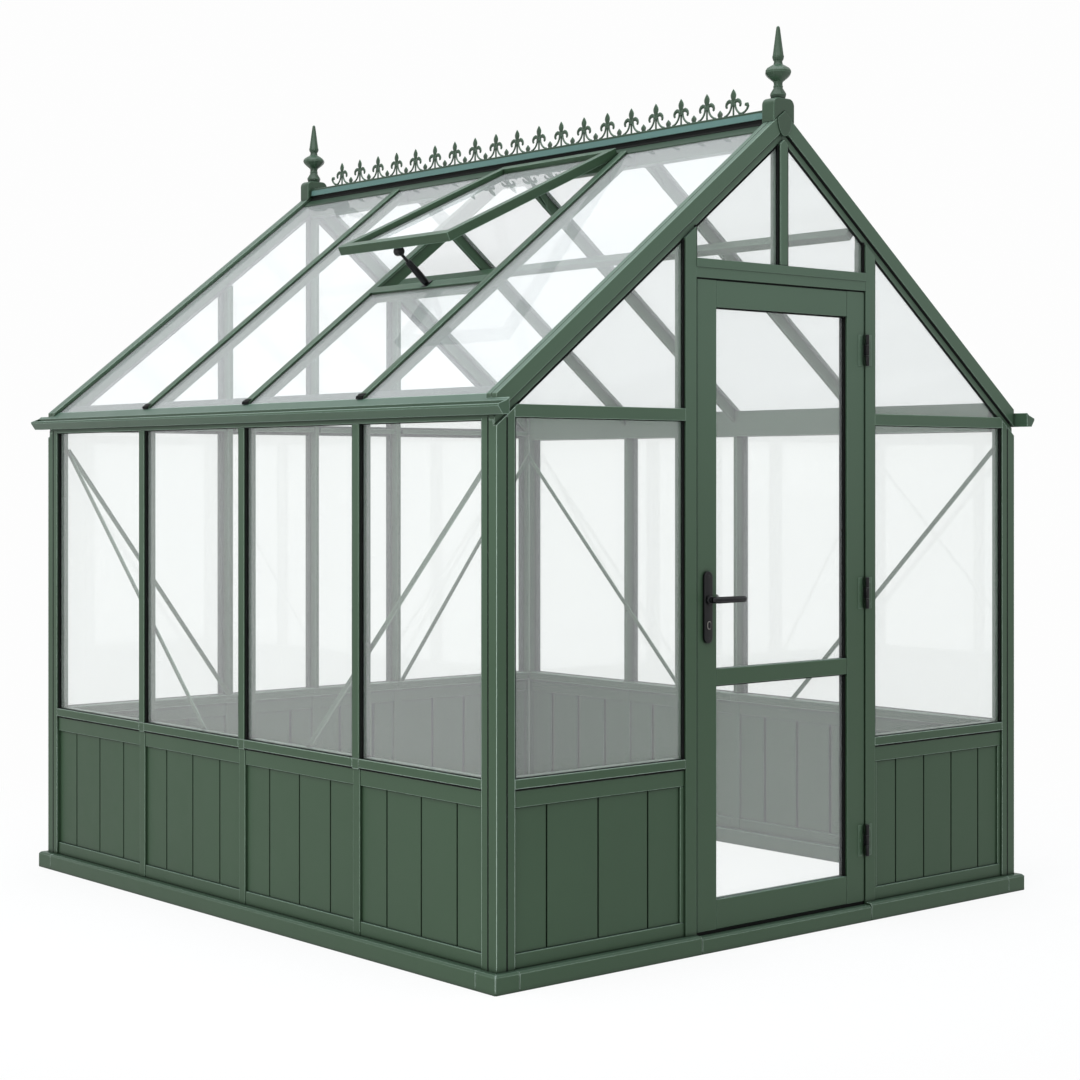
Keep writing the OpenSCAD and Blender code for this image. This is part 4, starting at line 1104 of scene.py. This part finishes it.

# ---- Glazing seals ----
# Black rubber wedges hold each pane against its channel and show as a dark line round the
# glass, partly painted shade beside the bars' caps. The same black fills the grooves beside the corner posts,
# the slots under the rakes and the gap round the door as painted shade.
seal_out = 0.008
seal_front, seal_back = 0.0050, 0.0137
seal_play = 0.0001
glass_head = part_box("wall_plates")[0].z
post_flange = 0.066
transom_low, transom_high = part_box("transoms")[0].z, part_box("transoms")[1].z
bar_cover = bar_w / 2
rake_under = 0.0700
# Sections of the seals under the rakes: (depth behind the gable's face, height over the roof)
rake_seal_sections = (
    ((0.0105, -0.0705), (0.0105, -0.0768), (0.0137, -0.0768), (0.0137, -0.0705)),
    ((0.0030, -0.0462), (0.0030, -0.0476), (0.0090, -0.0515), (0.0090, -0.0462)))
groove_from_corner = (0.0350, 0.0400)
groove_y = (-0.0004, 0.0075)
groove_top = 1.58
door_seal = (0.006, 0.014)
door_seal_w = 0.0045
head_bottom = leaf_high.z + 0.005
seals_and_shade = bmesh.new()


def wall_seal(wall, x_ends, low_z, high_z):
    """A seal in front of the glass of a wall, between two places along it in either order."""
    low, high = sorted(x_ends)
    wall_block(seals_and_shade, wall, (low, seal_front, low_z), (high, seal_back, high_z))


def pane_seal(wall, x_ends, foot, head):
    """Seals down both sides of a pane and along its foot and head."""
    start, end = sorted(x_ends)
    wall_seal(wall, (start + seal_play, start + seal_out), foot + seal_play, head - seal_play)
    wall_seal(wall, (end - seal_out, end - seal_play), foot + seal_play, head - seal_play)
    wall_seal(wall, (start + seal_out, end - seal_out), foot + seal_play, foot + 0.002)
    wall_seal(wall, (start + seal_out, end - seal_out), head - 0.0025, head - seal_play)


for wall in ("left", "right"):
    for ends in openings(half_l - post_flange, bar_lines, bar_w):
        pane_seal(wall, ends, sill_top, glass_head)
for wall in ("front", "rear"):
    for hand in (-1, 1):
        pane_seal(wall, (hand * door_post_out, hand * (half_w - post_flange)), sill_top, transom_low)
        for x, outward in ((door_post_out, 1), (door_clear, -1), (bar_cover, 1)):
            foot = transom_high if x == door_post_out or wall == "rear" else head_high.z
            edge = x + outward * seal_out
            wall_seal(wall, (hand * (x + outward * seal_play), hand * edge), foot + seal_play,
                      roof_z(edge, rake_under))
for hand in (-1, 1):
    pane_seal("rear", (hand * bar_cover, hand * door_clear), sill_top, transom_low)
soften(seals_and_shade, 0.0007)
for axes in ((), (1,), (0,), (0, 1)):
    for section in rake_seal_sections:
        strip = bmesh.new()
        outline_run(strip, [(y - half_l, z) for y, z in section], 0.07, 1.60)
        bmesh.ops.transform(strip, matrix=slope["right"], verts=strip.verts)
        clipped(strip, (half_w - 0.02, 0, 0), (1, 0, 0))
        joined(seals_and_shade, mirrored(strip, *axes))
# Black fills in the grooves beside the corner posts, as painted shade
for wall, half in wall_half.items():
    for hand in (-1, 1):
        low, high = sorted(hand * (half - inwards) for inwards in groove_from_corner)
        wall_block(seals_and_shade, wall, (low, groove_y[0], plinth_top + 0.0005), (high, groove_y[1], groove_top))
# Black strips in the gap round the door, as painted shade
jamb = door_clear - 0.0002
for low, high in (((-jamb, plinth_top), (-door_clear + door_seal_w, leaf_high.z)),
                  ((leaf_high.x + 0.0006, plinth_top), (jamb, leaf_high.z)),
                  ((-jamb, leaf_high.z + 0.0008), (jamb, head_bottom - 0.0002)),
                  ((-jamb, plinth_top - threshold_drop + 0.0002), (jamb, leaf_low.z - 0.0008))):
    wall_block(seals_and_shade, "front", (low[0], door_seal[0], low[1]), (high[0], door_seal[1], high[1]))
piece("glazing_seals_and_shade", seals_and_shade, black_rubber_and_shade, "green_frame")

# ---- Door glazing seals ----
# The same black wedges line both faces of the leaf's two openings, down the stiles and along the
# undersides of the rails, and darken the reveals as painted shade. They are pushed in by hand after the
# glass.
leaf_openings = ((0.148, 0.790), (0.840, 1.925))
leaf_seal_w = 0.007
leaf_seal_h = 0.0035
leaf_seal_in = 0.007
glass_low, glass_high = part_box("door_glass")
seal_depths = ((leaf_low.y + leaf_seal_in, glass_low.y - 0.0003),
               (glass_high.y + 0.0003, leaf_high.y - leaf_seal_in))
# Black wedges that also darken the leaf's reveals as painted shade
leaf_seals_and_shade = bmesh.new()
for foot, head in leaf_openings:
    for front, back in seal_depths:
        for low, high in ((rail_low.x + 0.0002, rail_low.x + leaf_seal_w),
                          (rail_high.x - leaf_seal_w, rail_high.x - 0.0002)):
            block(leaf_seals_and_shade, (low, front, foot + 0.0002), (high, back, head - 0.0002))
        block(leaf_seals_and_shade, (rail_low.x + leaf_seal_w + 0.0002, front, head - leaf_seal_h),
              (rail_high.x - leaf_seal_w - 0.0002, back, head - 0.0002))
soften(leaf_seals_and_shade, 0.0007)
piece("door_glazing_seals_and_shade", leaf_seals_and_shade, black_rubber_and_shade, "green_frame", body="door")

# ---- Studio ----
# A pale floor that fades into a white background, with soft light from all round, a wide
# lamp overhead and a weaker one at the left.
backdrop_white = (0.985, 0.985, 0.985, 1)
seen_directly = ("Camera", "Glossy", "Transmission")
ground = bmesh.new()
bmesh.ops.create_grid(ground, x_segments=1, y_segments=1, size=60)
floor_mesh = bpy.data.meshes.new("floor")
ground.to_mesh(floor_mesh)
ground.free()
floor = bpy.data.objects.new("floor", floor_mesh)
bpy.context.scene.collection.objects.link(floor)
pale_floor, tree, shader = finished("Pale floor")
floor_mesh.materials.append(pale_floor)
shader.inputs["Base Color"].default_value = (0.86, 0.86, 0.86, 1)
shader.inputs["Roughness"].default_value = 0.9
shader.inputs["Specular IOR Level"].default_value = 0
white = added(tree, "Emission", {"Color": backdrop_white})
place = added(tree, "TexCoord").outputs["Object"]
reach = added(tree, "VectorMath", {0: place}, operation="LENGTH").outputs["Value"]
fade = ranged(tree, reach, 1.5, 3.2, 0.86, 1)
blended(tree, calculated(tree, "MULTIPLY", fade, seen_rays(tree, *seen_directly)), shader, white,
        tree.nodes["Material Output"])

world = bpy.data.worlds.new("Studio")
bpy.context.scene.world = world
world.use_nodes = True
tree = world.node_tree
tree.nodes.clear()
facing = split(tree, added(tree, "TexCoord").outputs["Generated"])
shade = mixed(tree, ranged(tree, facing["Z"], -0.1, 0.9), (0.66, 0.66, 0.66, 1), (0.98, 1.04, 1.08, 1))
surround = added(tree, "Background", {"Color": shade})
backdrop = added(tree, "Background", {"Color": backdrop_white})
blended(tree, seen_rays(tree, *seen_directly), surround, backdrop, added(tree, "OutputWorld"))


def lamp(name, size, power, place, colour=(1, 1, 1)):
    """A square soft lamp that faces the middle of the house."""
    light = bpy.data.lights.new(name, "AREA")
    light.size = size
    light.energy = power
    light.color = colour
    made = bpy.data.objects.new(name, light)
    made.location = place
    made.rotation_euler = (Vector((0, 0, 1.2)) - Vector(place)).to_track_quat("-Z", "Y").to_euler()
    bpy.context.scene.collection.objects.link(made)


lamp("overhead_lamp", 6.0, 260, (-1.5, -1.0, 6.5), (0.94, 0.98, 1.0))
lamp("left_lamp", 4.0, 150, (-6.5, -2.5, 3.2))

camera_data = bpy.data.cameras.new("camera")
camera_data.lens = 72.36
camera_data.sensor_width = 36
camera_data.shift_y = -0.0588
camera = bpy.data.objects.new("camera", camera_data)
camera.location = (-4.934, -5.868, 1.417)
camera.rotation_euler = (math.radians(90), 0, math.radians(-40.66))
bpy.context.scene.collection.objects.link(camera)
bpy.context.scene.camera = camera
bpy.context.scene.view_settings.view_transform = "Standard"
bpy.context.scene.cycles.transparent_max_bounces = 24
